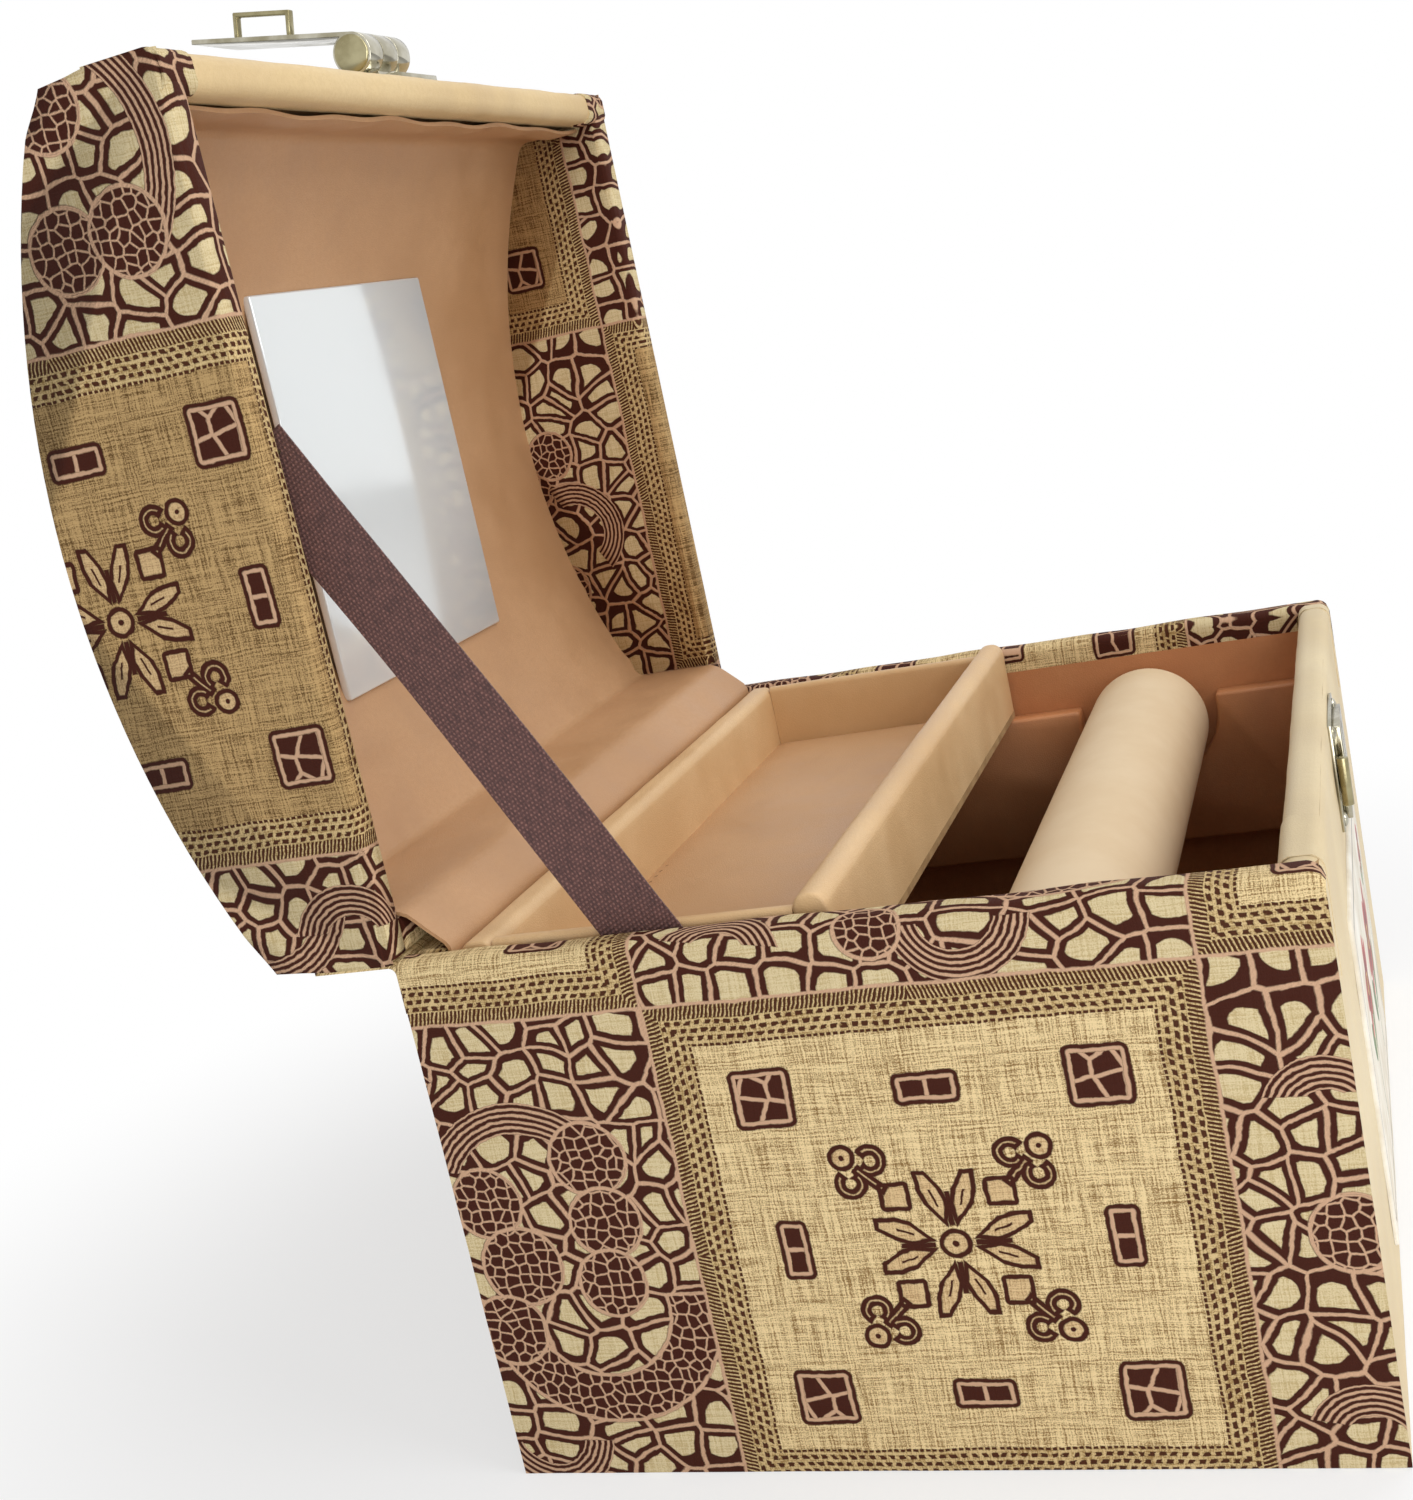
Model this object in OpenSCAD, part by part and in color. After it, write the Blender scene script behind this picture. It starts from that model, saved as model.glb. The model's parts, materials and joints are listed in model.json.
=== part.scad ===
// A cloth-covered vanity box with a domed lid, a glued-in mirror, a lift-out tray and a bangle roll.
// X is the width, -Y the front, +Z up. The origin is the middle of the underside of the base.
// The lid is drawn open, held by its ribbon.

/* [Box] */
// Width of the box, outside
box_w = 310; // [280:1:340]
// Depth of the box, front to back, outside
box_d = 235; // [220:1:255]
// Height of the base, outside
base_h = 152; // [140:1:175]
// Thickness of the wooden wall boards
board_t = 8; // [6:0.5:9]
// Thickness of the cloth or leatherette cover, with its wadding
cover_t = 1.2; // [0.8:0.1:1.6]
// Thickness of the lining inside
lining_t = 1.2; // [0.8:0.1:1.6]
// Rounding of the padded rims
rim_r = 3; // [2:0.1:3.4]
// How far the outer cover folds down inside the rim
fold_in = 9; // [6:0.5:14]
// Thickness of the bottom board
bottom_t = 5; // [4:0.5:8]
// Thickness of the paper under the bottom board
paper_t = 0.8; // [0.5:0.1:1.2]
// Thickness of the felt on the floor inside
felt_t = 1; // [0.6:0.1:1.6]

/* [Lid] */
// Angle that the lid stands open at
lid_open = 90; // [85:1:95]
// Height of the lid's front and back walls
lid_wall_h = 36; // [32:1:44]
// Rise of the domed top over its walls
dome_rise = 29; // [24:1:34]
// Thickness of the bent top panel
top_panel_t = 4; // [3:0.5:5]
// Gap left between the two rims when the lid is shut
rim_gap = 0.4; // [0.3:0.1:0.8]

/* [Mirror] */
// Mirror size across the lid
mirror_w = 118; // [90:1:140]
// Mirror size from front to back
mirror_l = 125; // [90:1:140]
// Thickness of the mirror glass
mirror_t = 3; // [2:0.5:4]
// How far the pad behind the mirror lies inside its edges
pad_inset = 2; // [1:0.5:6]

/* [Bangle roll and its rests] */
// Diameter of the bangle roll over its velour
roll_dia = 43; // [36:1:46]
// Thickness of the velour sleeve
velour_t = 1; // [0.6:0.1:1.4]
// Wall of the card tube
tube_wall = 2.5; // [1.5:0.5:4]
// Rounding of the padded ends of the roll
roll_end_r = 8; // [5:1:10]
// Depth of the plug of an end cap inside the tube
plug_l = 10; // [6:1:16]
// Distance of the roll's axis from the outer face of the front
roll_y = 68.5; // [62:0.5:74]
// Thickness of the notched rest boards
rest_t = 9; // [7:0.5:11]
// Depth of the rest boards' top edge below the base's rim
rest_down = 26; // [22:1:36]
// Height of the rest boards themselves
rest_h = 55; // [48:1:70]
// Radius of the notch that the roll lies in
notch_r = 25; // [24:0.5:28]
// Distance of the notch's centre below the rest boards' top edge
notch_drop = 5; // [3:0.5:8]

/* [Tray] */
// Thickness of the tray's padded front wall
tray_front_t = 9.5; // [8:0.5:12]
// Thickness of the tray's back wall
tray_back_t = 10; // [8:0.5:12]
// Thickness of the tray's end walls
tray_end_t = 5; // [4:0.5:8]
// Thickness of the tray's floor board
tray_floor_t = 2.4; // [2:0.1:4]
// Distance of the tray's front face from the outer face of the back
tray_d = 116; // [106:1:122]
// How far the tray's front wall stands above the base's rim
tray_rise = 3.5; // [0:0.5:8]
// Thickness of the tray's lining
tray_lining_t = 0.6; // [0.4:0.1:1]

/* [Ribbon] */
// Width of the stay ribbon
ribbon_w = 20; // [15:1:25]
// Thickness of the stay ribbon
ribbon_t = 0.6; // [0.4:0.1:0.8]
// Distance of the ribbon from the back, where it leaves the base's rim
ribbon_base_y = 65.5; // [55:0.5:75]
// Distance of the ribbon from the back, where it passes the lid's rim
ribbon_lid_y = 122; // [110:1:135]
// How far the ribbon's end reaches past the base's rim
ribbon_base_tail = 18; // [14:1:20]
// How far the ribbon's end reaches past the lid's rim
ribbon_lid_tail = 18; // [14:1:24]
// Radius of a tack's head
tack_head_r = 2.2; // [1.5:0.1:3]
// Thickness of a tack's head
tack_head_t = 0.7; // [0.5:0.1:0.8]
// Radius of a tack's shank
tack_r = 0.6; // [0.4:0.1:0.8]
// Length of a tack's shank under the ribbon
tack_l = 6; // [4:0.5:7]
// Distance of the tacks from the ribbon's end
tack_inset = 5; // [4:0.5:7]
// Distance of a tack from the ribbon's middle line
tack_spread = 5; // [3:0.5:7]

/* [Hinge cloths] */
// Thickness of the cloth strips over the hinge
hinge_t = 1; // [0.6:0.1:1]
// How far each strip reaches down the base
hinge_down = 14; // [10:1:20]
// How far each strip reaches along the lid's back wall
hinge_along = 25; // [15:1:30]

/* [Clasp] */
// Width of the clasp's strap and of its leaf on the lid
clasp_w = 28; // [24:1:36]
// Radius of the clasp's barrel
barrel_r = 6.4; // [5:0.1:7]
// Height of the barrel's axis above the lid's rim, with the lid shut
barrel_up = 17.6; // [14:0.1:20]
// Distance of the barrel's axis from the lid's front face
barrel_out = 10; // [9:0.1:12]
// Length of the barrel's middle knuckle, which is the leaf's
knuckle_w = 10; // [6:0.5:14]
// Radius of the clasp's pin
clasp_pin_r = 2; // [1.5:0.1:2.5]
// Thickness of the clasp's sheet metal
sheet_t = 1.5; // [1:0.1:2]
// Length of the strap from the barrel's axis
strap_l = 55; // [48:1:60]
// Distance of the staple's middle from the barrel's axis
staple_at = 37; // [34:0.5:40]
// Length of the staple along the strap
staple_l = 20; // [16:0.5:22]
// How far the staple stands out of the strap
staple_out = 8.5; // [8:0.1:9]
// Thickness of the staple's bar
staple_bar = 1.5; // [1:0.1:2]
// Width of the staple
staple_w = 3; // [2:0.1:3.4]
// Angle that the strap has turned back from its shut place
strap_turn = 169; // [150:1:172]
// Margin of the leaf from the lid's rim and from the top of its front wall
leaf_margin = 4; // [3:0.5:6]
// Distance of the leaf's screws from its edges
leaf_screw_inset = 4; // [3.5:0.5:5]

/* [Lock] */
// Width of the lock's back plate
lock_w = 40; // [38:1:44]
// Height of the lock's back plate
lock_h = 32; // [30:1:33]
// Thickness of the lock's back plate
lock_plate_t = 1; // [0.8:0.1:1.2]
// Distance of the plate's screws from its edges
lock_screw_inset = 3; // [2.8:0.1:3.2]
// Width of the lock's case
case_w = 27; // [24:0.5:28]
// Height of the lock's case
case_h = 28; // [26:0.5:30]
// Wall of the lock's case
case_wall = 0.8; // [0.6:0.1:0.8]
// Depth of the staple's slot below the front's face
slot_d = 6.5; // [6:0.5:8]
// Room at each end of the staple in its slot
slot_end_gap = 2; // [1:0.1:2.2]
// Room at each side of the staple in its slot
slot_side_gap = 0.8; // [0.6:0.1:1]
// Height of the sliding bolt
bolt_h = 8; // [5:0.5:9]
// Thickness of the sliding bolt
bolt_t = 1; // [0.8:0.1:1]
// Travel of the sliding bolt
bolt_travel = 6; // [5:0.5:6]
// Radius of the bolt's thumb bar
knob_r = 1.6; // [1.2:0.1:1.7]
// Length of the bolt's thumb bar
knob_l = 14; // [10:1:18]
// Radius of the screws' shanks
screw_r = 1.2; // [0.8:0.1:1.4]
// Radius of the screws' domed heads
screw_head_r = 2.3; // [2:0.1:2.4]
// Length of a screw behind the plate
screw_l = 6.5; // [4:0.5:7]

/* [Picture] */
// Width of the padded picture panel on the front
picture_w = 150; // [120:1:200]
// Height of the picture panel
picture_h = 96; // [80:1:100]
// Thickness of the picture panel
picture_t = 1.2; // [0.8:0.1:1.5]
// Distance of the picture's upper edge below the lock's plate
picture_gap = 7; // [4:0.5:10]

/* [Clearances] */
// Gap under a piece that rests loose on another
seat_gap = 0.3; // [0.2:0.05:0.5]
// Gap all round the tray, and at the ends of the roll
loose_gap = 2.2; // [2:0.1:2.4]
// Gap between a soft strip and the wall beside it
cloth_gap = 0.3; // [0.2:0.05:0.4]
// Radial gap of the clasp's pin in its bores
pin_gap = 0.05; // [0.02:0.01:0.1]
// Gap between parts that slide or turn past each other in the clasp
metal_gap = 0.3; // [0.2:0.05:0.5]
// Radial gap of a tack or a screw in its hole
hole_gap = 0.1; // [0.05:0.05:0.2]

/* [Hidden] */
$fn = 96;
over = 1;                                   // how far a cut runs past the face that it cuts
small_fn = 32;                              // facets of the small metal parts

wall_t = cover_t + board_t + lining_t;      // a finished wall
half_w = box_w / 2;
half_d = box_d / 2;
floor_z = paper_t + bottom_t;               // top of the bottom board
lining_z = floor_z + felt_t;                // the linings stand on the floor felt
lining_top = base_h - fold_in;

// the lid's dome, in the lid's own frame: its rim at z = 0 and its dome up
dome_r = (half_d * half_d + dome_rise * dome_rise) / (2 * dome_rise);
dome_z = lid_wall_h + dome_rise - dome_r;
panel_r = dome_r - cover_t;                 // outer face of the bent panel
ceiling_r = panel_r - top_panel_t;          // its inner face
inner_r = ceiling_r - lining_t;             // inner face of the lining
lid_top = lid_wall_h + dome_rise;

// the roll and its rests
roll_cy = roll_y - half_d;
rest_top = base_h - rest_down;
notch_z = rest_top - notch_drop;
roll_cz = notch_z - notch_r + seat_gap + roll_dia / 2;
roll_half = half_w - wall_t - loose_gap;
tube_r = roll_dia / 2 - velour_t;

// the tray
tray_x = half_w - wall_t - loose_gap;
tray_y0 = half_d - tray_d;
tray_y1 = half_d - wall_t - loose_gap;
tray_z = rest_top + seat_gap;
tray_top = base_h;
tray_front_top = base_h + tray_rise;

// the ribbon's line, seen from the side: where it passes the base's rim and the lid's rim
rib_a = [half_d - ribbon_base_y, base_h];
rib_b = [half_d, base_h + ribbon_lid_y];
rib_span = norm(rib_b - rib_a);
rib_angle = atan2(rib_b[1] - rib_a[1], rib_b[0] - rib_a[0]);
rib_x = -half_w + wall_t + cloth_gap;       // the ribbon's face beside the wall

// the clasp, in the lid's own frame
axis_y = -half_d - barrel_out;
strap_y = barrel_r - sheet_t;               // from the barrel's axis to the strap's outer face
leaf_h = lid_wall_h - 2 * leaf_margin;
leaf_screw_x = clasp_w / 2 - leaf_screw_inset;
leaf_screw_z = [leaf_margin + leaf_screw_inset, leaf_margin + leaf_h - leaf_screw_inset];

// the lock, in the base's frame: the shut strap lies just in front of its case
staple_z = base_h + rim_gap + barrel_up - staple_at;
slot_l = staple_l + 2 * slot_end_gap;
slot_w = staple_w + 2 * slot_side_gap;
case_y = -half_d - (barrel_out - barrel_r - metal_gap);
bolt_y = -half_d - lock_plate_t - metal_gap;
bolt_tip_x = -slot_w / 2 - metal_gap;
knob_x = -max(case_w, clasp_w) / 2 - bolt_travel - 2 * metal_gap - knob_r;
lock_screw_x = lock_w / 2 - lock_screw_inset;
lock_screw_z = lock_h / 2 - lock_screw_inset;
picture_up = staple_z - lock_h / 2 - picture_gap - picture_h;

// ---- helpers ----

// a 2D shape drawn in (x, z), run along y, centred
module along_y(len) rotate([90, 0, 0]) linear_extrude(len, center = true) children();

// a 2D shape drawn in (y, z), run along x, centred
module along_x(len) rotate([90, 0, 90]) linear_extrude(len, center = true) children();

// a box from its low corner to its high corner
module span_box(a, b) translate(a) cube(b - a);

// places a piece drawn in the lid's own frame on the open lid
module on_lid() {
    translate([0, half_d, base_h]) rotate([-lid_open, 0, 0])
        translate([0, -half_d, rim_gap]) children();
}

// a board's covered section, w wide and h high, with its two top corners rounded
module rim_shape(w, h) {
    square([w, h - rim_r]);
    translate([rim_r, 0]) square([w - 2 * rim_r, h]);
    for (x = [rim_r, w - rim_r]) translate([x, h - rim_r]) circle(rim_r);
}

// a cover folded over a rim: the outside at x = 0, the rim at the top
module fold_shape(h, inside) {
    difference() {
        rim_shape(wall_t, h);
        translate([cover_t, -over]) square([board_t, h - cover_t + over]);
        translate([cover_t, -over]) square([wall_t, h - inside + over]);
    }
}

// holes or pins along y through a wall's front: r, from y0 to y1
module pin_y(r, y0, y1)
    translate([0, y0, 0]) rotate([-90, 0, 0]) cylinder(r = r, h = y1 - y0, $fn = small_fn);

// places of the clasp leaf's screws and of the lock plate's screws
module leaf_screws_at()
    for (x = [-leaf_screw_x, leaf_screw_x], z = leaf_screw_z) translate([x, 0, z]) children();

module lock_screws_at()
    for (x = [-lock_screw_x, lock_screw_x], z = [-lock_screw_z, lock_screw_z])
        translate([x, 0, staple_z + z]) children();

// places of the ribbon's tacks, side by side across it, at either end
module tacks_at(along) {
    translate([0, rib_a[0], rib_a[1]]) rotate([rib_angle, 0, 0])
        for (s = [-1, 1]) translate([0, along, s * tack_spread]) children();
}

module base_tacks_at() tacks_at(-ribbon_base_tail + tack_inset) children();

module lid_tacks_at() tacks_at(rib_span + ribbon_lid_tail - tack_inset) children();

// a tack's hole, through the lining into the board of the left wall
module tack_hole() {
    translate([rib_x - tack_l - 2 * hole_gap, 0, 0]) rotate([0, 90, 0])
        cylinder(r = tack_r + hole_gap, h = tack_l + over, $fn = small_fn);
}

module tack() {
    translate([rib_x - tack_l, 0, 0]) rotate([0, 90, 0])
        cylinder(r = tack_r, h = tack_l + ribbon_t, $fn = small_fn);
    translate([rib_x + ribbon_t, 0, 0]) rotate([0, 90, 0])
        cylinder(r = tack_head_r, h = tack_head_t, $fn = small_fn);
}

// a round-headed screw: its head out towards -y from the face at y = 0
module screw() {
    pin_y(screw_r, 0, screw_l);
    rotate([90, 0, 0]) intersection() {
        translate([0, 0, -screw_head_r * 0.8]) sphere(r = screw_head_r * 1.28, $fn = small_fn);
        cylinder(r = screw_head_r, h = screw_head_r, $fn = small_fn);
    }
}

// ---- base: boards ----

// the front board, or with side = 1 the back board
module end_board(side) {
    y = side * (half_d - cover_t - board_t / 2);
    translate([0, y, (paper_t + base_h - cover_t) / 2])
        cube([box_w - 2 * cover_t, board_t, base_h - cover_t - paper_t], center = true);
}

module side_board(side) {
    x = side * (half_w - cover_t - board_t / 2);
    translate([x, 0, (paper_t + base_h - cover_t) / 2])
        cube([board_t, box_d - 2 * cover_t - 2 * board_t, base_h - cover_t - paper_t], center = true);
}

// the slot that the staple enters, from y0 to the bottom of its pocket in the front board
module staple_slot(y0) span_box([-slot_w / 2, y0, staple_z - slot_l / 2],
                                [slot_w / 2, -half_d + slot_d, staple_z + slot_l / 2]);

module base_front_board() color("burlywood") difference() {
    end_board(-1);
    staple_slot(-half_d);
    lock_screws_at() pin_y(screw_r + hole_gap, -half_d, -half_d + screw_l + 2 * hole_gap);
}

module base_back_board() color("burlywood") end_board(1);

module base_left_board() color("burlywood") difference() {
    side_board(-1);
    base_tacks_at() tack_hole();
}

module base_right_board() color("burlywood") side_board(1);

module base_bottom_board() color("burlywood")
    span_box([-half_w + cover_t + board_t, -half_d + cover_t + board_t, paper_t],
             [half_w - cover_t - board_t, half_d - cover_t - board_t, floor_z]);

module base_bottom_paper() color("saddlebrown")
    span_box([-half_w + cover_t, -half_d + cover_t, 0], [half_w - cover_t, half_d - cover_t, paper_t]);

// ---- base: covers and linings ----

// a cover on the left wall: a plate the whole depth, folded over the rim and down inside
module side_cover() {
    difference() {
        union() {
            span_box([-half_w, -half_d, 0], [-half_w + cover_t, half_d, base_h - rim_r]);
            translate([-half_w, 0, 0]) along_y(box_d - 2 * cover_t) fold_shape(base_h, fold_in);
            intersection() {
                translate([-half_w, 0, 0]) along_y(box_d) rim_shape(wall_t, base_h);
                span_box([-half_w, -half_d, 0], [-half_w + cover_t, half_d, base_h]);
            }
        }
        // inside the corners the fold leaves room for the end boards
        for (s = [-1, 1]) translate([-half_w + wall_t, s * (half_d - wall_t / 2), base_h / 2 - cover_t])
            cube([2 * (lining_t + board_t), wall_t, base_h], center = true);
    }
}

module base_left_cover() color("peru") difference() {
    side_cover();
    base_tacks_at() tack_hole();
}

module base_right_cover() color("peru") mirror([1, 0, 0]) side_cover();

// a cover on the front wall: it lies between the two side covers
module end_cover() {
    difference() {
        translate([0, -half_d, 0]) along_x(box_w - 2 * cover_t) fold_shape(base_h, fold_in);
        for (s = [-1, 1]) translate([s * (half_w - wall_t / 2), -half_d + cover_t + wall_t, base_h / 2])
            cube([wall_t, 2 * wall_t, base_h + 2 * over], center = true);
    }
}

module base_front_cover() color("wheat") difference() {
    end_cover();
    staple_slot(-half_d - over);
    lock_screws_at() pin_y(screw_r + hole_gap, -half_d - over, -half_d + 2 * cover_t);
}

module base_back_cover() color("peru") mirror([0, 1, 0]) end_cover();

module base_floor_felt() color("maroon")
    span_box([-half_w + cover_t + board_t, -half_d + cover_t + board_t, floor_z],
             [half_w - cover_t - board_t, half_d - cover_t - board_t, lining_z]);

module end_lining() span_box([-half_w + wall_t, -half_d + cover_t + board_t, lining_z],
                             [half_w - wall_t, -half_d + wall_t, lining_top]);

module side_lining() span_box([-half_w + cover_t + board_t, -half_d + cover_t + board_t, lining_z],
                              [-half_w + wall_t, half_d - cover_t - board_t, lining_top]);

module base_front_lining() color("tan") end_lining();

module base_back_lining() color("tan") mirror([0, 1, 0]) end_lining();

module base_left_lining() color("tan") difference() {
    side_lining();
    base_tacks_at() tack_hole();
}

module base_right_lining() color("tan") mirror([1, 0, 0]) side_lining();

// a rest board, glued to the left lining: the tray stands on it and the roll lies in its notch
module roll_rest() {
    difference() {
        span_box([-half_w + wall_t, -half_d + wall_t, rest_top - rest_h],
                 [-half_w + wall_t + rest_t, half_d - wall_t, rest_top]);
        translate([-half_w + wall_t + rest_t / 2, roll_cy, notch_z]) {
            rotate([0, 90, 0]) cylinder(r = notch_r, h = rest_t + 2 * over, center = true);
            translate([0, 0, notch_r]) cube([rest_t + 2 * over, 2 * notch_r, 2 * notch_r], center = true);
        }
    }
}

module roll_rest_left() color("tan") roll_rest();

module roll_rest_right() color("tan") mirror([1, 0, 0]) roll_rest();

module picture_panel() color("ivory")
    span_box([-picture_w / 2, -half_d - picture_t, picture_up],
             [picture_w / 2, -half_d, picture_up + picture_h]);

// ---- base: lock ----

module lock_plate() color("silver") difference() {
    span_box([-lock_w / 2, -half_d - lock_plate_t, staple_z - lock_h / 2],
             [lock_w / 2, -half_d, staple_z + lock_h / 2]);
    staple_slot(-half_d - 2 * lock_plate_t);
    lock_screws_at() pin_y(screw_r + hole_gap, -half_d - 2 * lock_plate_t, -half_d + over);
}

// a pressed box on the plate, with the staple's slot in its front and the bolt's notch in its side
module lock_case() color("silver") difference() {
    span_box([-case_w / 2, case_y, staple_z - case_h / 2],
             [case_w / 2, -half_d - lock_plate_t, staple_z + case_h / 2]);
    span_box([-case_w / 2 + case_wall, case_y + case_wall, staple_z - case_h / 2 + case_wall],
             [case_w / 2 - case_wall, -half_d, staple_z + case_h / 2 - case_wall]);
    staple_slot(case_y - over);
    span_box([-case_w / 2 - over, case_y + case_wall, staple_z - bolt_h / 2 - metal_gap],
             [-case_w / 2 + 2 * case_wall, -half_d, staple_z + bolt_h / 2 + metal_gap]);
}

module lock_screws() color("silver") lock_screws_at() translate([0, -half_d - lock_plate_t, 0]) screw();

// the flat bolt between the plate and the case, with its upright thumb bar outside
module lock_bolt() color("gold") {
    span_box([knob_x, bolt_y - bolt_t, staple_z - bolt_h / 2], [bolt_tip_x, bolt_y, staple_z + bolt_h / 2]);
    translate([knob_x, bolt_y - knob_r, staple_z]) cylinder(r = knob_r, h = knob_l, center = true);
}

// ---- ribbon and hinge cloths ----

module base_tacks() color("gold") base_tacks_at() tack();

module lid_tacks() color("gold") lid_tacks_at() tack();

module ribbon() color("rosybrown") difference() {
    translate([rib_x, rib_a[0], rib_a[1]]) rotate([rib_angle, 0, 0])
        translate([0, -ribbon_base_tail, -ribbon_w / 2])
            cube([ribbon_t, rib_span + ribbon_base_tail + ribbon_lid_tail, ribbon_w]);
    base_tacks_at() tack_hole();
    lid_tacks_at() tack_hole();
}

// the lining's flap inside: down the base's back wall, across the hinge's corner and along the lid
module hinge_flap() color("tan") {
    y_in = half_d - wall_t - cloth_gap;
    z_in = base_h + wall_t + cloth_gap;
    along_x(box_w - 2 * wall_t - 2 * loose_gap) polygon([
        [y_in - hinge_t, base_h - hinge_down],
        [y_in, base_h - hinge_down],
        [y_in, base_h],
        [half_d, z_in],
        [half_d + hinge_along, z_in],
        [half_d + hinge_along, z_in + hinge_t],
        [half_d - hinge_t / 2, z_in + hinge_t],
        [y_in - hinge_t, base_h + hinge_t / 2],
    ]);
}

// the outer cloth strip that carries the lid, glued outside round the hinge's corner
module hinge_cloth() color("peru") along_x(box_w - 2 * cover_t) {
    translate([half_d, base_h - hinge_down]) square([hinge_t, hinge_down]);
    translate([half_d, base_h - hinge_t]) square([hinge_along, hinge_t]);
}

// ---- tray ----

module tray_floor() color("tan")
    span_box([-tray_x, tray_y0, tray_z], [tray_x, tray_y1, tray_z + tray_floor_t]);

// the padded front wall, with its two top edges rounded
module tray_front_wall() color("wheat")
    translate([0, tray_y0, tray_z + tray_floor_t]) along_x(2 * tray_x)
        rim_shape(tray_front_t, tray_front_top - tray_z - tray_floor_t);

module tray_back_wall() color("wheat")
    translate([0, tray_y1 - tray_back_t, tray_z + tray_floor_t]) along_x(2 * tray_x)
        rim_shape(tray_back_t, tray_top - tray_z - tray_floor_t);

module tray_end_wall() span_box([-tray_x, tray_y0 + tray_front_t, tray_z + tray_floor_t],
                                [-tray_x + tray_end_t, tray_y1 - tray_back_t, tray_top]);

module tray_left_wall() color("wheat") tray_end_wall();

module tray_right_wall() color("wheat") mirror([1, 0, 0]) tray_end_wall();

module tray_lining() color("tan")
    span_box([-tray_x + tray_end_t, tray_y0 + tray_front_t, tray_z + tray_floor_t],
             [tray_x - tray_end_t, tray_y1 - tray_back_t, tray_z + tray_floor_t + tray_lining_t]);

// ---- bangle roll ----

module on_roll() translate([0, roll_cy, roll_cz]) rotate([0, 90, 0]) children();

module roll_tube() color("khaki") on_roll() difference() {
    cylinder(r = tube_r, h = 2 * (roll_half - roll_end_r), center = true);
    cylinder(r = tube_r - tube_wall, h = 2 * roll_half, center = true);
}

module roll_cover() color("wheat") on_roll() difference() {
    cylinder(r = roll_dia / 2, h = 2 * (roll_half - roll_end_r), center = true);
    cylinder(r = tube_r, h = 2 * roll_half, center = true);
}

// a plug in the tube's end with a padded, rounded face
module roll_cap() {
    on_roll() translate([0, 0, roll_half - roll_end_r]) rotate_extrude() {
        translate([0, -plug_l]) square([tube_r - tube_wall, plug_l]);
        square([roll_dia / 2 - roll_end_r, roll_end_r]);
        intersection() {
            translate([roll_dia / 2 - roll_end_r, 0]) circle(roll_end_r);
            square(roll_dia / 2 + over);
        }
    }
}

module roll_cap_right() color("wheat") roll_cap();

module roll_cap_left() color("wheat") mirror([1, 0, 0]) roll_cap();

// ---- lid: boards and panel, in the lid's own frame ----

// the part of the (y, z) plane under the dome of radius r, d deep, from z0 up
module dome_shape(r, d, z0) intersection() {
    translate([-d / 2, z0]) square([d, lid_top]);
    translate([0, dome_z]) circle(r, $fn = 360);
}

module lid_end_board() along_x(box_w - 2 * cover_t) intersection() {
    dome_shape(ceiling_r, box_d - 2 * cover_t, cover_t);
    translate([-half_d, 0]) square([cover_t + board_t, lid_top]);
}

module lid_side_board() translate([-half_w + cover_t + board_t / 2, 0, 0])
    along_x(board_t) dome_shape(ceiling_r, box_d - 2 * cover_t - 2 * board_t, cover_t);

module lid_front_board() color("burlywood") on_lid() difference() {
    lid_end_board();
    leaf_screws_at() pin_y(screw_r + hole_gap, -half_d, -half_d + screw_l + 2 * hole_gap);
}

module lid_back_board() color("burlywood") on_lid() mirror([0, 1, 0]) lid_end_board();

module lid_left_board() color("burlywood") difference() {
    on_lid() lid_side_board();
    lid_tacks_at() tack_hole();
}

module lid_right_board() color("burlywood") on_lid() mirror([1, 0, 0]) lid_side_board();

module lid_top_panel() color("burlywood") on_lid() along_x(box_w - 2 * cover_t) difference() {
    dome_shape(panel_r, box_d - 2 * cover_t, cover_t);
    translate([0, dome_z]) circle(ceiling_r, $fn = 360);
}

// ---- lid: covers and lining, in the lid's own frame ----

module lid_top_cover() color("peru") on_lid() along_x(box_w - 2 * cover_t) difference() {
    dome_shape(dome_r, box_d, 0);
    translate([0, dome_z]) circle(panel_r, $fn = 360);
}

// a cover folded over the lid's left rim: a plate outside and another all over the inside
module lid_side_cover() {
    plate_h = lid_top + rim_r;
    difference() {
        intersection() {
            translate([-half_w, 0, plate_h]) mirror([0, 0, 1]) along_y(box_d) fold_shape(plate_h, plate_h);
            along_x(box_w) dome_shape(dome_r, box_d, 0);
        }
        // the inner plate stops under the bent panel and between the end boards
        translate([-half_w + cover_t + wall_t / 2, 0, 0]) along_x(wall_t) difference() {
            translate([-box_d, -over]) square([2 * box_d, lid_top + 2 * over]);
            dome_shape(ceiling_r, box_d - 2 * wall_t, -over);
            translate([-half_d + cover_t, -over]) square([box_d - 2 * cover_t, cover_t + over]);
        }
    }
}

module lid_left_cover() color("peru") difference() {
    on_lid() lid_side_cover();
    lid_tacks_at() tack_hole();
}

module lid_right_cover() color("peru") on_lid() mirror([1, 0, 0]) lid_side_cover();

// a cover on the lid's front wall, folded over the rim, between the two side covers
module lid_end_cover() {
    plate_h = lid_wall_h + rim_r;
    difference() {
        intersection() {
            translate([0, -half_d, plate_h]) mirror([0, 0, 1])
                along_x(box_w - 2 * cover_t) fold_shape(plate_h, fold_in);
            along_x(box_w) dome_shape(panel_r, box_d, 0);
        }
        for (s = [-1, 1]) translate([s * (half_w - wall_t / 2), -half_d + cover_t + wall_t, 0])
            cube([wall_t, 2 * wall_t, 3 * lid_top], center = true);
    }
}

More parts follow.
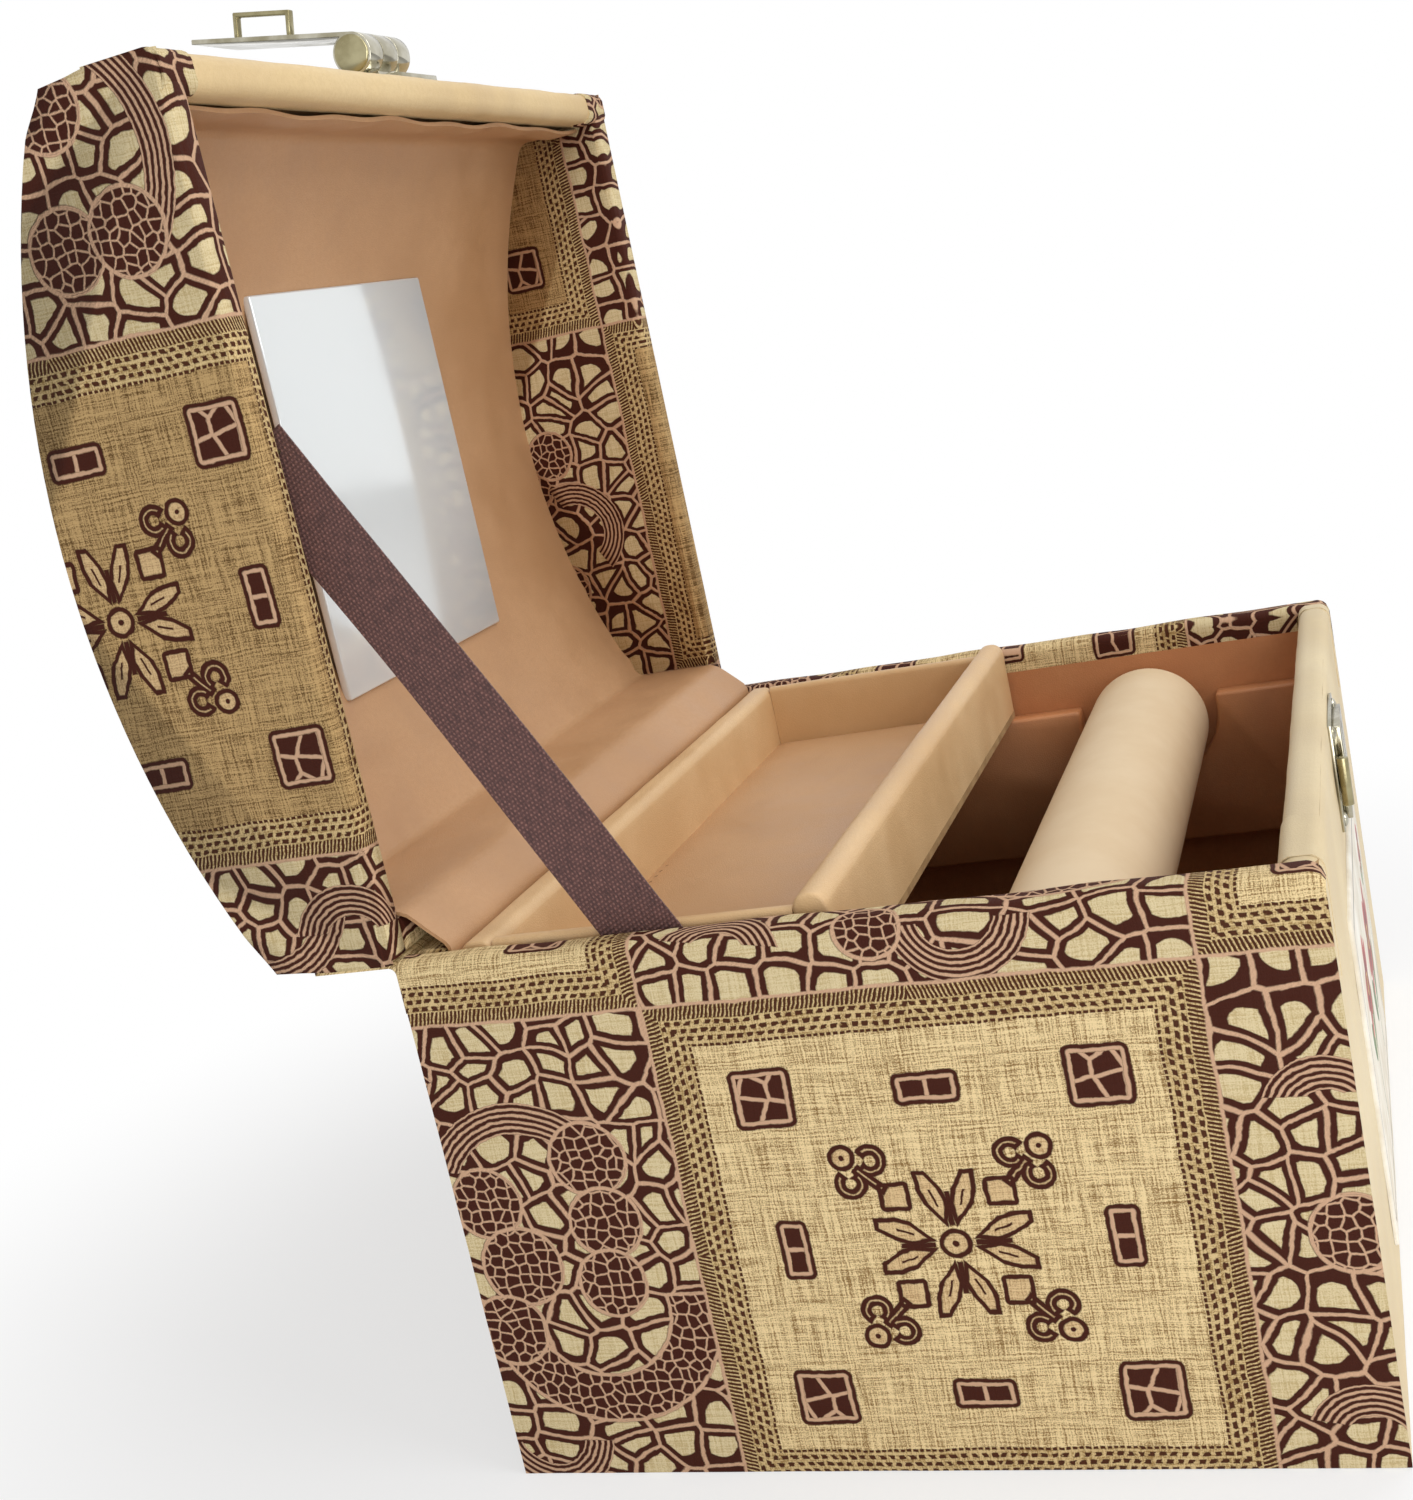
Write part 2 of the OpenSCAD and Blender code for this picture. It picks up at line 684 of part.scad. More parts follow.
module lid_front_cover() color("wheat") on_lid() difference() {
    lid_end_cover();
    leaf_screws_at() pin_y(screw_r + hole_gap, -half_d - over, -half_d + 2 * cover_t);
}

module lid_back_cover() color("peru") on_lid() mirror([0, 1, 0]) lid_end_cover();

// one sheet inside: up the front wall, along the ceiling and down the back wall
module lid_lining() color("tan") on_lid() along_x(box_w - 2 * wall_t) difference() {
    dome_shape(ceiling_r, box_d - 2 * cover_t - 2 * board_t, fold_in);
    dome_shape(inner_r, box_d - 2 * wall_t, 0);
}

// ---- lid: mirror ----

// height of the mirror's back, where its two ends meet the curved ceiling
function mirror_back_z() = dome_z + sqrt(pow(inner_r - seat_gap, 2) - pow(mirror_l / 2, 2));

module mirror_plate() color("lightsteelblue") on_lid()
    span_box([-mirror_w / 2, -mirror_l / 2, mirror_back_z() - mirror_t],
             [mirror_w / 2, mirror_l / 2, mirror_back_z()]);

// the pad that fills the hollow between the flat mirror and the curved ceiling
module mirror_backing() color("dimgray") on_lid() along_x(mirror_w - 2 * pad_inset) intersection() {
    translate([-mirror_l / 2 + pad_inset, mirror_back_z()]) square([mirror_l - 2 * pad_inset, lid_top]);
    translate([0, dome_z]) circle(inner_r - seat_gap / 2, $fn = 360);
}

// ---- lid: clasp, in the lid's own frame ----

module at_barrel() translate([0, axis_y, barrel_up]) children();

module barrel(x0, x1) translate([x0, 0, 0]) rotate([0, 90, 0]) cylinder(r = barrel_r, h = x1 - x0);

module barrel_bore() rotate([0, 90, 0]) cylinder(r = clasp_pin_r + pin_gap, h = 2 * clasp_w, center = true);

// the leaf on the lid's front, with the middle knuckle on a neck
module hasp_leaf() color("silver") on_lid() difference() {
    union() {
        span_box([-clasp_w / 2, -half_d - sheet_t, leaf_margin],
                 [clasp_w / 2, -half_d, leaf_margin + leaf_h]);
        at_barrel() barrel(-knuckle_w / 2, knuckle_w / 2);
        span_box([-knuckle_w / 2, axis_y, barrel_up - barrel_r / 2],
                 [knuckle_w / 2, -half_d, barrel_up + barrel_r / 2]);
    }
    at_barrel() barrel_bore();
    leaf_screws_at() pin_y(screw_r + hole_gap, -half_d - 2 * sheet_t, -half_d + over);
}

module hasp_screws() color("silver")
    on_lid() leaf_screws_at() translate([0, -half_d - sheet_t, 0]) screw();

// turns a piece of the strap, drawn shut and hanging down from the barrel's axis, to where it lies open
module on_strap() on_lid() at_barrel() rotate([-strap_turn, 0, 0]) children();

// two outer knuckles and the flat strap, tangent to them
module hasp_strap() color("silver") on_strap() difference() {
    union() {
        for (s = [0, 1]) mirror([s, 0, 0]) barrel(knuckle_w / 2 + metal_gap, clasp_w / 2);
        for (s = [0, 1]) mirror([s, 0, 0])
            span_box([knuckle_w / 2 + metal_gap, strap_y, -barrel_r * 2], [clasp_w / 2, barrel_r, 0]);
        span_box([-clasp_w / 2, strap_y, -strap_l], [clasp_w / 2, barrel_r, -barrel_r - metal_gap * 2]);
    }
    barrel_bore();
}

// the loop that enters the lock
module hasp_staple() color("gold") on_strap()
    translate([0, barrel_r, -staple_at]) along_x(staple_w) difference() {
        translate([0, -staple_l / 2]) square([staple_out, staple_l]);
        translate([-over, -staple_l / 2 + staple_bar])
            square([staple_out - staple_bar + over, staple_l - 2 * staple_bar]);
    }

module hasp_pin() color("gold") on_strap() rotate([0, 90, 0]) {
    cylinder(r = clasp_pin_r, h = clasp_w, center = true, $fn = small_fn);
    for (s = [0, 1]) mirror([0, 0, s]) translate([0, 0, clasp_w / 2])
        cylinder(r = barrel_r - sheet_t / 2, h = sheet_t / 2);
}

// ---- all nodes ----

base_bottom_board();
base_bottom_paper();
base_front_board();
base_back_board();
base_left_board();
base_right_board();
base_left_cover();
base_right_cover();
base_front_cover();
base_back_cover();
base_floor_felt();
base_front_lining();
base_back_lining();
base_left_lining();
base_right_lining();
roll_rest_left();
roll_rest_right();
picture_panel();
lock_plate();
lock_case();
lock_screws();
lock_bolt();
base_tacks();
hinge_flap();
hinge_cloth();
ribbon();
tray_floor();
tray_front_wall();
tray_back_wall();
tray_left_wall();
tray_right_wall();
tray_lining();
roll_tube();
roll_cover();
roll_cap_left();
roll_cap_right();
lid_front_board();
lid_back_board();
lid_left_board();
lid_right_board();
lid_top_panel();
lid_top_cover();
lid_left_cover();
lid_right_cover();
lid_front_cover();
lid_back_cover();
lid_lining();
mirror_plate();  // mirror
mirror_backing();
hasp_leaf();
hasp_screws();
lid_tacks();
hasp_strap();
hasp_staple();
hasp_pin();
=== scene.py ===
# %% [markdown]
# A vanity box with a domed lid, covered with brocade and leatherette, in Blender.
# The box's wooden and metal pieces come ready-made from the frame, at their real size and place.
# This lesson dresses them: it makes the padded covers, the loose linings, the ribbon, the roll and
# the tray as soft pieces, and gives each surface a material that is built from nodes alone.

# %% Load the frame
import json
import math

import bpy
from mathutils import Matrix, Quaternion, Vector

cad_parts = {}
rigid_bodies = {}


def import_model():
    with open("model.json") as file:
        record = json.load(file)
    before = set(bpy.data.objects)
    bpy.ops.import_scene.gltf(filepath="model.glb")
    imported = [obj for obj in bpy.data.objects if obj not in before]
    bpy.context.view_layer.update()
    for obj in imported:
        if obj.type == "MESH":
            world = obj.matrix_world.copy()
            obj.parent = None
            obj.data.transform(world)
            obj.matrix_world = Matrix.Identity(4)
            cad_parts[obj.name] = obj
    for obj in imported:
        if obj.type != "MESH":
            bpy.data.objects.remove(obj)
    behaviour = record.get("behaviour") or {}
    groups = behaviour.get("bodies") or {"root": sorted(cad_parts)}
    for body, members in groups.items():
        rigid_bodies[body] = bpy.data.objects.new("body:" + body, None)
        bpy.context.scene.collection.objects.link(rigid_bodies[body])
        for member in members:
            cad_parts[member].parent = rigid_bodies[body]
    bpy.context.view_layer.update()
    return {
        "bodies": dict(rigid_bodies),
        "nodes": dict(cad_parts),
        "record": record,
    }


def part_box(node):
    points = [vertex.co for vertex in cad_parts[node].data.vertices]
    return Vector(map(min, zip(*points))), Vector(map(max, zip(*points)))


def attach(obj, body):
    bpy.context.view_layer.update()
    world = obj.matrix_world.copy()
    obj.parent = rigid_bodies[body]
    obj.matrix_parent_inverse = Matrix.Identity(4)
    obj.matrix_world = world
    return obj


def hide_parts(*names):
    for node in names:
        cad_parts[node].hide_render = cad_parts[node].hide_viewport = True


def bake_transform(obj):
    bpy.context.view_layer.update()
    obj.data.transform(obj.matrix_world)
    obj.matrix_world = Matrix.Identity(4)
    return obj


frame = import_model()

bodies = frame["bodies"]
nodes = frame["nodes"]
MM = 0.001
print("bodies:", ", ".join(bodies), "| nodes:", len(nodes))

# %% [markdown]
# The camera comes first, because every later choice is judged through it. The photographer held it
# a little above the box, off its left front corner, and tilted it. Blender can aim a camera with
# to_track_quat, and the tilt is one more turn about the camera's own axis.

# %% Camera
CAMERA_PLACE = Vector((-0.5918, -0.1398, 0.2992))
CAMERA_LOOK = Vector((0.9181, 0.3348, -0.2121))
CAMERA_ROLL = math.radians(-12.26)
LENS_MM = 47.33

camera = bpy.data.objects.new("camera", bpy.data.cameras.new("camera"))
bpy.context.scene.collection.objects.link(camera)
camera.location = CAMERA_PLACE
camera.rotation_mode = "QUATERNION"
tilt = Quaternion((0, 0, 1), CAMERA_ROLL)
camera.rotation_quaternion = CAMERA_LOOK.to_track_quat("-Z", "Y") @ tilt
camera.data.lens = LENS_MM
camera.data.clip_start = 0.01
bpy.context.scene.camera = camera
print("camera at", tuple(round(c, 3) for c in camera.location))

# %% [markdown]
# Three soft lamps and a plain pale world light the box. A large lamp in front and above does most
# of the work, a second one fills the side that the camera sees, and a third reaches over the lid.

# %% Lamps and world
def add_lamp(name, place, target, size, power):
    """An area lamp that looks from its place to a target."""
    lamp = bpy.data.objects.new(name, bpy.data.lights.new(name, "AREA"))
    bpy.context.scene.collection.objects.link(lamp)
    lamp.location = place
    lamp.rotation_mode = "QUATERNION"
    lamp.rotation_quaternion = (Vector(target) - Vector(place)).to_track_quat("-Z", "Y")
    lamp.data.size = size
    lamp.data.energy = power
    return lamp


BOX_MIDDLE = (0.0, 0.0, 0.18)
LEFT_SIDE = (-0.155, -0.02, 0.03)
add_lamp("key_lamp", (-0.35, -1.25, 1.15), BOX_MIDDLE, 0.9, 10.5)
add_lamp("side_lamp", (-0.95, -0.42, 0.10), LEFT_SIDE, 0.7, 5.6)
add_lamp("top_lamp", (0.5, -0.3, 1.6), BOX_MIDDLE, 0.8, 7.0)

WORLD_LIGHT = 0.42
bpy.context.scene.view_settings.view_transform = "Standard"
print("lamps:", ", ".join(thing.name for thing in bpy.data.objects if thing.type == "LIGHT"))


# %% [markdown]
# Shader maths is easier to read as Python than as boxes and wires. The class below wraps one output
# socket of a material and overloads the operators, so an expression adds its own Math nodes. A
# second class holds the material and makes any other node from its type, its settings and inputs.

# %% Shader maths
class Value:
    """One output socket of a shader tree, for use in expressions."""

    def __init__(self, shader, socket):
        self.shader = shader
        self.socket = socket

    def math(self, operation, *others):
        return self.shader.math(operation, self, *others)

    def __add__(self, other):
        return self.math("ADD", other)

    __radd__ = __add__

    def __sub__(self, other):
        return self.math("SUBTRACT", other)

    def __rsub__(self, other):
        return self.shader.math("SUBTRACT", other, self)

    def __mul__(self, other):
        return self.math("MULTIPLY", other)

    __rmul__ = __mul__

    def __truediv__(self, other):
        return self.math("DIVIDE", other)

    def __rtruediv__(self, other):
        return self.shader.math("DIVIDE", other, self)

    def __abs__(self):
        return self.math("ABSOLUTE")

    def __mod__(self, period):
        return self.math("FLOORED_MODULO", period)

    def floor(self):
        return self.math("FLOOR")

    def sin(self):
        return self.math("SINE")

    def low(self, other):
        return self.math("MINIMUM", other)

    def high(self, other):
        return self.math("MAXIMUM", other)


class Shader:
    """A material, with short ways to add nodes to it."""

    def __init__(self, name, world=None):
        if world is None:
            self.material = bpy.data.materials.new(name)
            self.material.use_nodes = True
            self.tree = self.material.node_tree
        else:
            world.use_nodes = True
            self.tree = world.node_tree
        self.tree.nodes.clear()

    def node(self, kind, settings=None, inputs=None, output=0):
        """Adds a node, sets it up, plugs its inputs in and returns one of its outputs."""
        made = self.tree.nodes.new("ShaderNode" + kind)
        for key, value in (settings or {}).items():
            setattr(made, key, value)
        for key, value in (inputs or {}).items():
            self.plug(made.inputs[key], value)
        return Value(self, made.outputs[output])

    def plug(self, socket, value):
        if isinstance(value, Value):
            self.tree.links.new(value.socket, socket)
        else:
            socket.default_value = value

    def math(self, operation, *values):
        return self.node("Math", {"operation": operation}, dict(enumerate(values)))

    def step(self, value, start, end, low=0.0, high=1.0):
        """A smooth rise from low at start to high at end."""
        inputs = {"Value": value, "From Min": start, "From Max": end, "To Min": low, "To Max": high}
        return self.node("MapRange", {"interpolation_type": "SMOOTHSTEP"}, inputs)

    def line(self, distance, width, soft):
        """1 within half the width of where the distance is 0, and 0 outside."""
        return self.step(abs(distance), width / 2 + soft, width / 2 - soft)

    def mix(self, factor, first, second):
        return self.node("Mix", {"data_type": "RGBA"}, {0: factor, 6: first, 7: second}, 2)

    def place(self):
        """The object's own coordinates, in millimetres, as three values."""
        split = self.tree.nodes.new("ShaderNodeSeparateXYZ")
        self.plug(split.inputs[0], self.point())
        return [Value(self, out) * (1 / MM) for out in split.outputs]

    def point(self):
        coords = self.tree.nodes.new("ShaderNodeTexCoord")
        return Value(self, coords.outputs["Object"])

    def join(self, x, y, z=0.0):
        return self.node("CombineXYZ", None, {0: x, 1: y, 2: z})

    def noise(self, vector, scale, detail=2.0, rough=0.5):
        inputs = {"Vector": vector, "Scale": scale, "Detail": detail, "Roughness": rough}
        return self.node("TexNoise", None, inputs)

    def voronoi(self, vector, feature="DISTANCE_TO_EDGE", randomness=1.0, output=0, flat=True):
        settings = {"feature": feature, "voronoi_dimensions": "2D" if flat else "3D"}
        inputs = {"Vector": vector, "Scale": 1.0, "Randomness": randomness}
        return self.node("TexVoronoi", settings, inputs, output)

    def bump(self, height, distance, strength):
        """A normal that follows a height, of which 1 stands for the distance, in metres."""
        inputs = {"Height": height, "Distance": distance, "Strength": strength}
        return self.node("Bump", None, inputs)

    def surface(self, **inputs):
        """Ends the material with one Principled shader."""
        named = {key.replace("_", " "): value for key, value in inputs.items()}
        shader = self.node("BsdfPrincipled", None, named)
        return self.finish(shader)

    def finish(self, shader):
        output = self.tree.nodes.new("ShaderNodeOutputMaterial")
        self.plug(output.inputs["Surface"], shader)
        return self.material


def rgb(red, green, blue):
    """A colour from its screen values, 0 to 255, as the linear colour that shaders want."""
    def linear(value):
        share = value / 255
        return share / 12.92 if share <= 0.04045 else ((share + 0.055) / 1.055) ** 2.4
    return (linear(red), linear(green), linear(blue), 1.0)


print("orange is", tuple(round(c, 2) for c in rgb(255, 128, 0)))

# %% [markdown]
# The world is white to the camera, to mirrors and to glass, and dimmer as a light. Near the box
# the floor is paper that takes the shadow. Further away it fades into a white glow that only the
# camera sees, so that no horizon shows.

# %% World and floor
world = bpy.data.worlds.new("pale_world")
bpy.context.scene.world = world
sky = Shader("pale_world", world)
rays = sky.tree.nodes.new("ShaderNodeLightPath")
camera_sees, mirror_sees, glass_sees = (Value(sky, rays.outputs["Is " + kind + " Ray"])
                                        for kind in ("Camera", "Glossy", "Transmission"))
shows = camera_sees.high(mirror_sees).high(glass_sees)
strength = sky.step(shows, 0, 1, WORLD_LIGHT, 1.0)
light = sky.node("Background", None, {"Color": (1, 1, 1, 1), "Strength": strength})
out = sky.tree.nodes.new("ShaderNodeOutputWorld")
sky.plug(out.inputs["Surface"], light)

FLOOR_SIZE = 8.0
FLOOR_DROP = 0.0002
# the glow's share near the box, and the distances from the middle, in mm, where it grows to 1
GLOW_SHARE = 0.62
FADE_FROM, FADE_TO = 240, 500
bpy.ops.object.select_all(action="DESELECT")
bpy.ops.mesh.primitive_plane_add(size=FLOOR_SIZE, location=(0, 0, -FLOOR_DROP))
floor = bpy.context.object
floor.name = "floor"
paint = Shader("floor_paper")
fx, fy = paint.place()[:2]
far = paint.step((fx * fx + fy * fy).math("SQRT"), FADE_FROM, FADE_TO, GLOW_SHARE, 1.0)
paper = paint.node("BsdfDiffuse", None, {"Color": (0.93, 0.93, 0.93, 1)})
glow = paint.node("Emission", None, {"Color": (1, 1, 1, 1), "Strength": 1.0})
floor_rays = paint.tree.nodes.new("ShaderNodeLightPath")
camera_ray = Value(paint, floor_rays.outputs["Is Camera Ray"])
floor_mix = paint.node("MixShader", None, {0: far * camera_ray, 1: paper, 2: glow})
floor.data.materials.append(paint.finish(floor_mix))
print("floor:", FLOOR_SIZE, "m wide")


# %% [markdown]
# The brocade is a checkerboard of woven squares. One kind is a gold field with small motifs, and
# the other is a mosaic of pebbles between raised cords. Both can be written as distances: a motif
# is dark where a point is near its outline and pink where it is just inside, so that the cloth
# needs no picture. Folding the coordinates with abs, min and max draws each motif eight times.

# %% Brocade: colours and outlines
# one woven square's width, a cord's width and the softness of a thread's edge, in mm
TILE = 139.0
CORD_WIDTH = 1.15
EDGE_SOFT = 0.2
DARK = rgb(64, 27, 16)
CORD = rgb(200, 162, 132)
BRAID_DARK = rgb(74, 40, 22)
# yarns that change with the light: each in its light and in its shaded colour
# one gold yarn in two copies: painted lighter on the base's cloths as painted light, and darker on
# the lid's as painted shade
BASE_GOLD_PAINTED_LIGHT = (rgb(232, 208, 158), rgb(136, 105, 62))
LID_GOLD_PAINTED_SHADE = (rgb(190, 158, 108), rgb(98, 72, 40))
PETAL = (rgb(214, 184, 138), rgb(182, 148, 106))
BRAID_GOLD = (rgb(212, 186, 136), rgb(150, 120, 74))
CREAM = (rgb(216, 199, 158), rgb(190, 168, 122))


def box_distance(a, b, half_a, half_b, round_off):
    """Distance to the edge of a box with round corners around (0, 0), below 0 inside it."""
    qa = abs(a) - (half_a - round_off)
    qb = abs(b) - (half_b - round_off)
    outside = (qa.high(0.0) * qa.high(0.0) + qb.high(0.0) * qb.high(0.0)).math("SQRT")
    return outside + qa.high(qb).low(0.0) - round_off


def ring_distance(a, b, radius):
    """Distance to a circle around (0, 0), below 0 inside it."""
    return (a * a + b * b).math("SQRT") - radius


def framed(paint, distance):
    """A dark outline, a cord inside it, and the ground inside the cord, for one motif."""
    outline = paint.line(distance + 0.5, CORD_WIDTH, 0.22)
    cord = paint.line(distance + 1.55, CORD_WIDTH, 0.22)
    ground = paint.step(distance, -2.0, -2.3)
    return outline, cord, ground


print("one woven square is", TILE, "mm wide")

# %% [markdown]
# The gold square's figure is the same in all its corners, so it is drawn once. m is the larger and
# n the smaller distance from the middle lines, and along and aside are the same place measured
# down the diagonal, where the arms of the rosette lie.

# %% Brocade: the gold square
def gold_square(paint, a, b):
    """Masks of the gold field's motifs: dark lines, cords, dark grounds and pale fillings."""
    fa, fb = abs(a), abs(b)
    m, n = fa.high(fb), fa.low(fb)
    along = (fa + fb) * math.sqrt(0.5)
    aside = abs(fa - fb) * math.sqrt(0.5)
    # squares near the corners, and bars between them
    square = framed(paint, box_distance(fa - 42.4, fb - 42.4, 8.1, 8.1, 2.2))
    bar = framed(paint, box_distance(m - 42.2, n, 4.3, 8.4, 1.9))
    stone = 7.0
    crack_place = paint.join((fa - 41.6) / stone + 3.0, (fb - 42.8) / stone + 7.0)
    crack = paint.voronoi(crack_place, randomness=0.72)
    cracks = paint.line(crack * stone, 1.1, EDGE_SOFT)
    middle = paint.line(n, 1.2, EDGE_SOFT)
    cords = square[1].high(bar[1]).high(cracks * square[2]).high(middle * bar[2])
    # each arm: a diamond, then a stem with two hooks and a ring at its end
    diamond = box_distance(fa - 13.5, fb - 13.5, 3.5, 3.5, 0.7)
    ring = ring_distance(along - 35.4, aside, 3.0)
    hook = abs(ring_distance(along - 29.4, aside - 4.3, 2.9))
    hook = hook.high((4.9 - aside).low(along - 29.0))
    stem = aside.high(abs(along - 26.4) - 3.4)
    scroll = hook.low(stem) - 0.85
    arm = abs(diamond).low(abs(ring)).low(abs(scroll))
    dots = ring_distance(along - 35.4, aside, 0.45).low(ring_distance(a, b, 0.55))
    # the rosette: a ring, and two leaning petals on each side of every axis
    heart = ring_distance(a, b, 3.5)
    lean = abs(n - 3.9 - (m - 13.0) * 0.34)
    taper = (11.0 - m).high((m - 15.0) * 0.6).high(0.0)
    petal = (lean + taper * 0.5 - 2.6).high(m - 19.6)
    vein = (lean - 0.05).high(abs(m - 12.5) - 2.0)
    gap = n.high(abs(m - 9.6) - 3.8) - 0.1
    rosette = abs(heart).low(abs(petal)).low(gap)
    lines = paint.step(arm.low(rosette), 0.85, 0.45)
    dark = lines.high(paint.step(dots.low(vein), 0.4, 0.1)).high(square[0]).high(bar[0])
    pale = paint.step(petal.low(heart).low(ring).low(diamond).low(scroll), -0.2, -0.7)
    return dark, cords, square[2].high(bar[2]), pale


def braid(paint, a, b, edge, run):
    """The border of a gold square: rows of small staggered stitches, then a hatched row outside."""
    row_width, stitch = 2.1, 2.7
    shift = edge - 59.2
    row = (shift / row_width).floor()
    in_row = shift % row_width
    uneven = (paint.noise(paint.join(a, b), 0.9, 1.0) - 0.5) * 1.6
    phase = (run + in_row * 0.3 + row * (stitch / 2) + uneven) % stitch
    long_enough = paint.step(abs(phase - stitch / 2), 0.95, 0.65)
    stitches = long_enough * paint.step(abs(in_row - row_width / 2), 0.75, 0.45)
    start = paint.step(run % 1.7, 0.35, 0.65) * paint.step(edge, 58.9, 58.6)
    hatch = paint.step((run + edge * 0.3) % 1.15, 0.35, 0.60)
    inside = paint.step(edge, 59.1, 59.3)
    last = paint.step(edge, 65.4, 65.6)
    return stitches * inside * (1 - last) + start + hatch * last


# %% [markdown]
# The mosaic's pebbles are Voronoi cells: the distance to a cell's edge gives the cord between two
# pebbles, the dark ring beside it and the pale stone. The large figures are placed on each cloth
# as a weaver would draw them: crackled discs with a few round centres, and broad arcs of
# parallel cords. What lies under a disc or an arc is left out.

# %% Brocade: the mosaic
# Each disc is (along, up, radius), each arc (along, up, radius, where it points, opening) and each
# crescent (along, up, radius, width), in mm and degrees from the middle of a mosaic square
BASE_DISCS = [(-45, 29, 10.5), (-46, 10.5, 10), (-44, -7, 9.5), (-13, 18, 10), (-19, -1, 11.5),
              (-11, -20, 10.5), (44, -2, 10), (7, -54, 8.5), (29, 46, 9), (20, -2, 9)]
BASE_ARCS = [(-25, 17, 25, 95, 70), (46, 28, 11, 90, 60), (46, -58, 12, 100, 70),
             (-15, -52, 14, -90, 80), (10, 40, 17, 60, 75)]
BASE_CRESCENTS = [(-38, -14, 27.5, 14.0)]
LID_DISCS = [(-14, -46, 10.5), (-32.5, -45, 11), (-18, -13, 10), (30, -30, 10.5), (-50, 20, 10),
             (36, 24, 9.5), (12, 56, 9), (2, 4, 10)]
LID_ARCS = [(-11, -27, 35, 155, 62), (-16, 62, 24, -100, 60), (40, -8, 16, 30, 80),
            (-44, 44, 13, 90, 70)]
LID_CRESCENTS = [(10, 26, 24.0, 11.0)]
BASE_FIGURES = (BASE_DISCS, BASE_ARCS, BASE_CRESCENTS)
LID_FIGURES = (LID_DISCS, LID_ARCS, LID_CRESCENTS)
ARC_WIDTH = 8.4
ARC_PITCH = 1.68
PEBBLE = 10.8
CRACKLE = 3.3


def pebbles(paint, a, b, warp, discs, arcs, crescents):
    """The mosaic: masks of its cords and of its pale stones."""
    cells = paint.join(a / PEBBLE * 0.94 + warp[0], b / PEBBLE * 1.06 + warp[1])
    edge = paint.voronoi(cells, randomness=0.85) * PEBBLE
    middle = paint.voronoi(cells, "F1", 0.85) * PEBBLE
    cords = paint.line(edge, CORD_WIDTH, EDGE_SOFT)
    pale = paint.step(edge.low(7.2 - middle), 1.85, 2.25)
    crackle_edge = paint.voronoi(paint.join(a / CRACKLE, b / CRACKLE), randomness=0.7) * CRACKLE
    crackle = paint.line(crackle_edge, 0.62, 0.16)

    def crackled(band, cords, pale):
        """Where the band is below 0, crackle takes the pebbles' place, and a cord goes round it."""
        inside = paint.step(band, 0.1, -0.1)
        rim = paint.line(band, CORD_WIDTH, EDGE_SOFT)
        return (cords * (1 - inside)).high(crackle * inside).high(rim), pale * (1 - inside)

    for place_a, place_b, radius, width in crescents:
        band = abs(ring_distance(a - place_a, b - place_b, radius)) - width / 2
        cords, pale = crackled(band.high(b - place_b - 3.0), cords, pale)
    for place_a, place_b, radius, points_to, opening in arcs:
        way_a, way_b = math.cos(math.radians(points_to)), math.sin(math.radians(points_to))
        out = ring_distance(a - place_a, b - place_b, radius)
        ahead = (a - place_a) * way_a + (b - place_b) * way_b
        band = (abs(out) - ARC_WIDTH / 2).high(radius * math.cos(math.radians(opening)) - ahead)
        inside = paint.step(band, 0.2, 0.0)
        from_line = (out + ARC_WIDTH / 2 + ARC_PITCH / 2) % ARC_PITCH - ARC_PITCH / 2
        lines = paint.line(from_line, 0.85, 0.16)
        cords = (cords * (1 - inside)).high(lines * inside)
        pale = pale * (1 - inside)
    for place_a, place_b, radius in discs:
        cords, pale = crackled(ring_distance(a - place_a, b - place_b, radius), cords, pale)
    return cords, pale


print("figures on the base:", [len(kind) for kind in BASE_FIGURES])


# %% [markdown]
# The whole cloth puts both squares on their board, under a slight warp, because no cloth is glued
# quite straight. Its threads are two stretched noises that cross. They pick between the light and
# the shaded colour of each yarn and also lift the surface, so that colour and relief agree.

# %% Brocade: the whole cloth
def threads(paint, u, v):
    """Fine slubs along both directions, which cross, and a little speckle."""
    warp = paint.noise(paint.join(u * 1.9, v * 0.06), 1.0, 2.0, 0.7)
    weft = paint.noise(paint.join(u * 0.06 + 40.0, v * 1.9), 1.0, 2.0, 0.7)
    speckle = paint.noise(paint.join(u * 2.6, v * 2.6), 1.0, 1.0)
    return warp * 0.36 + weft * 0.36 + speckle * 0.28


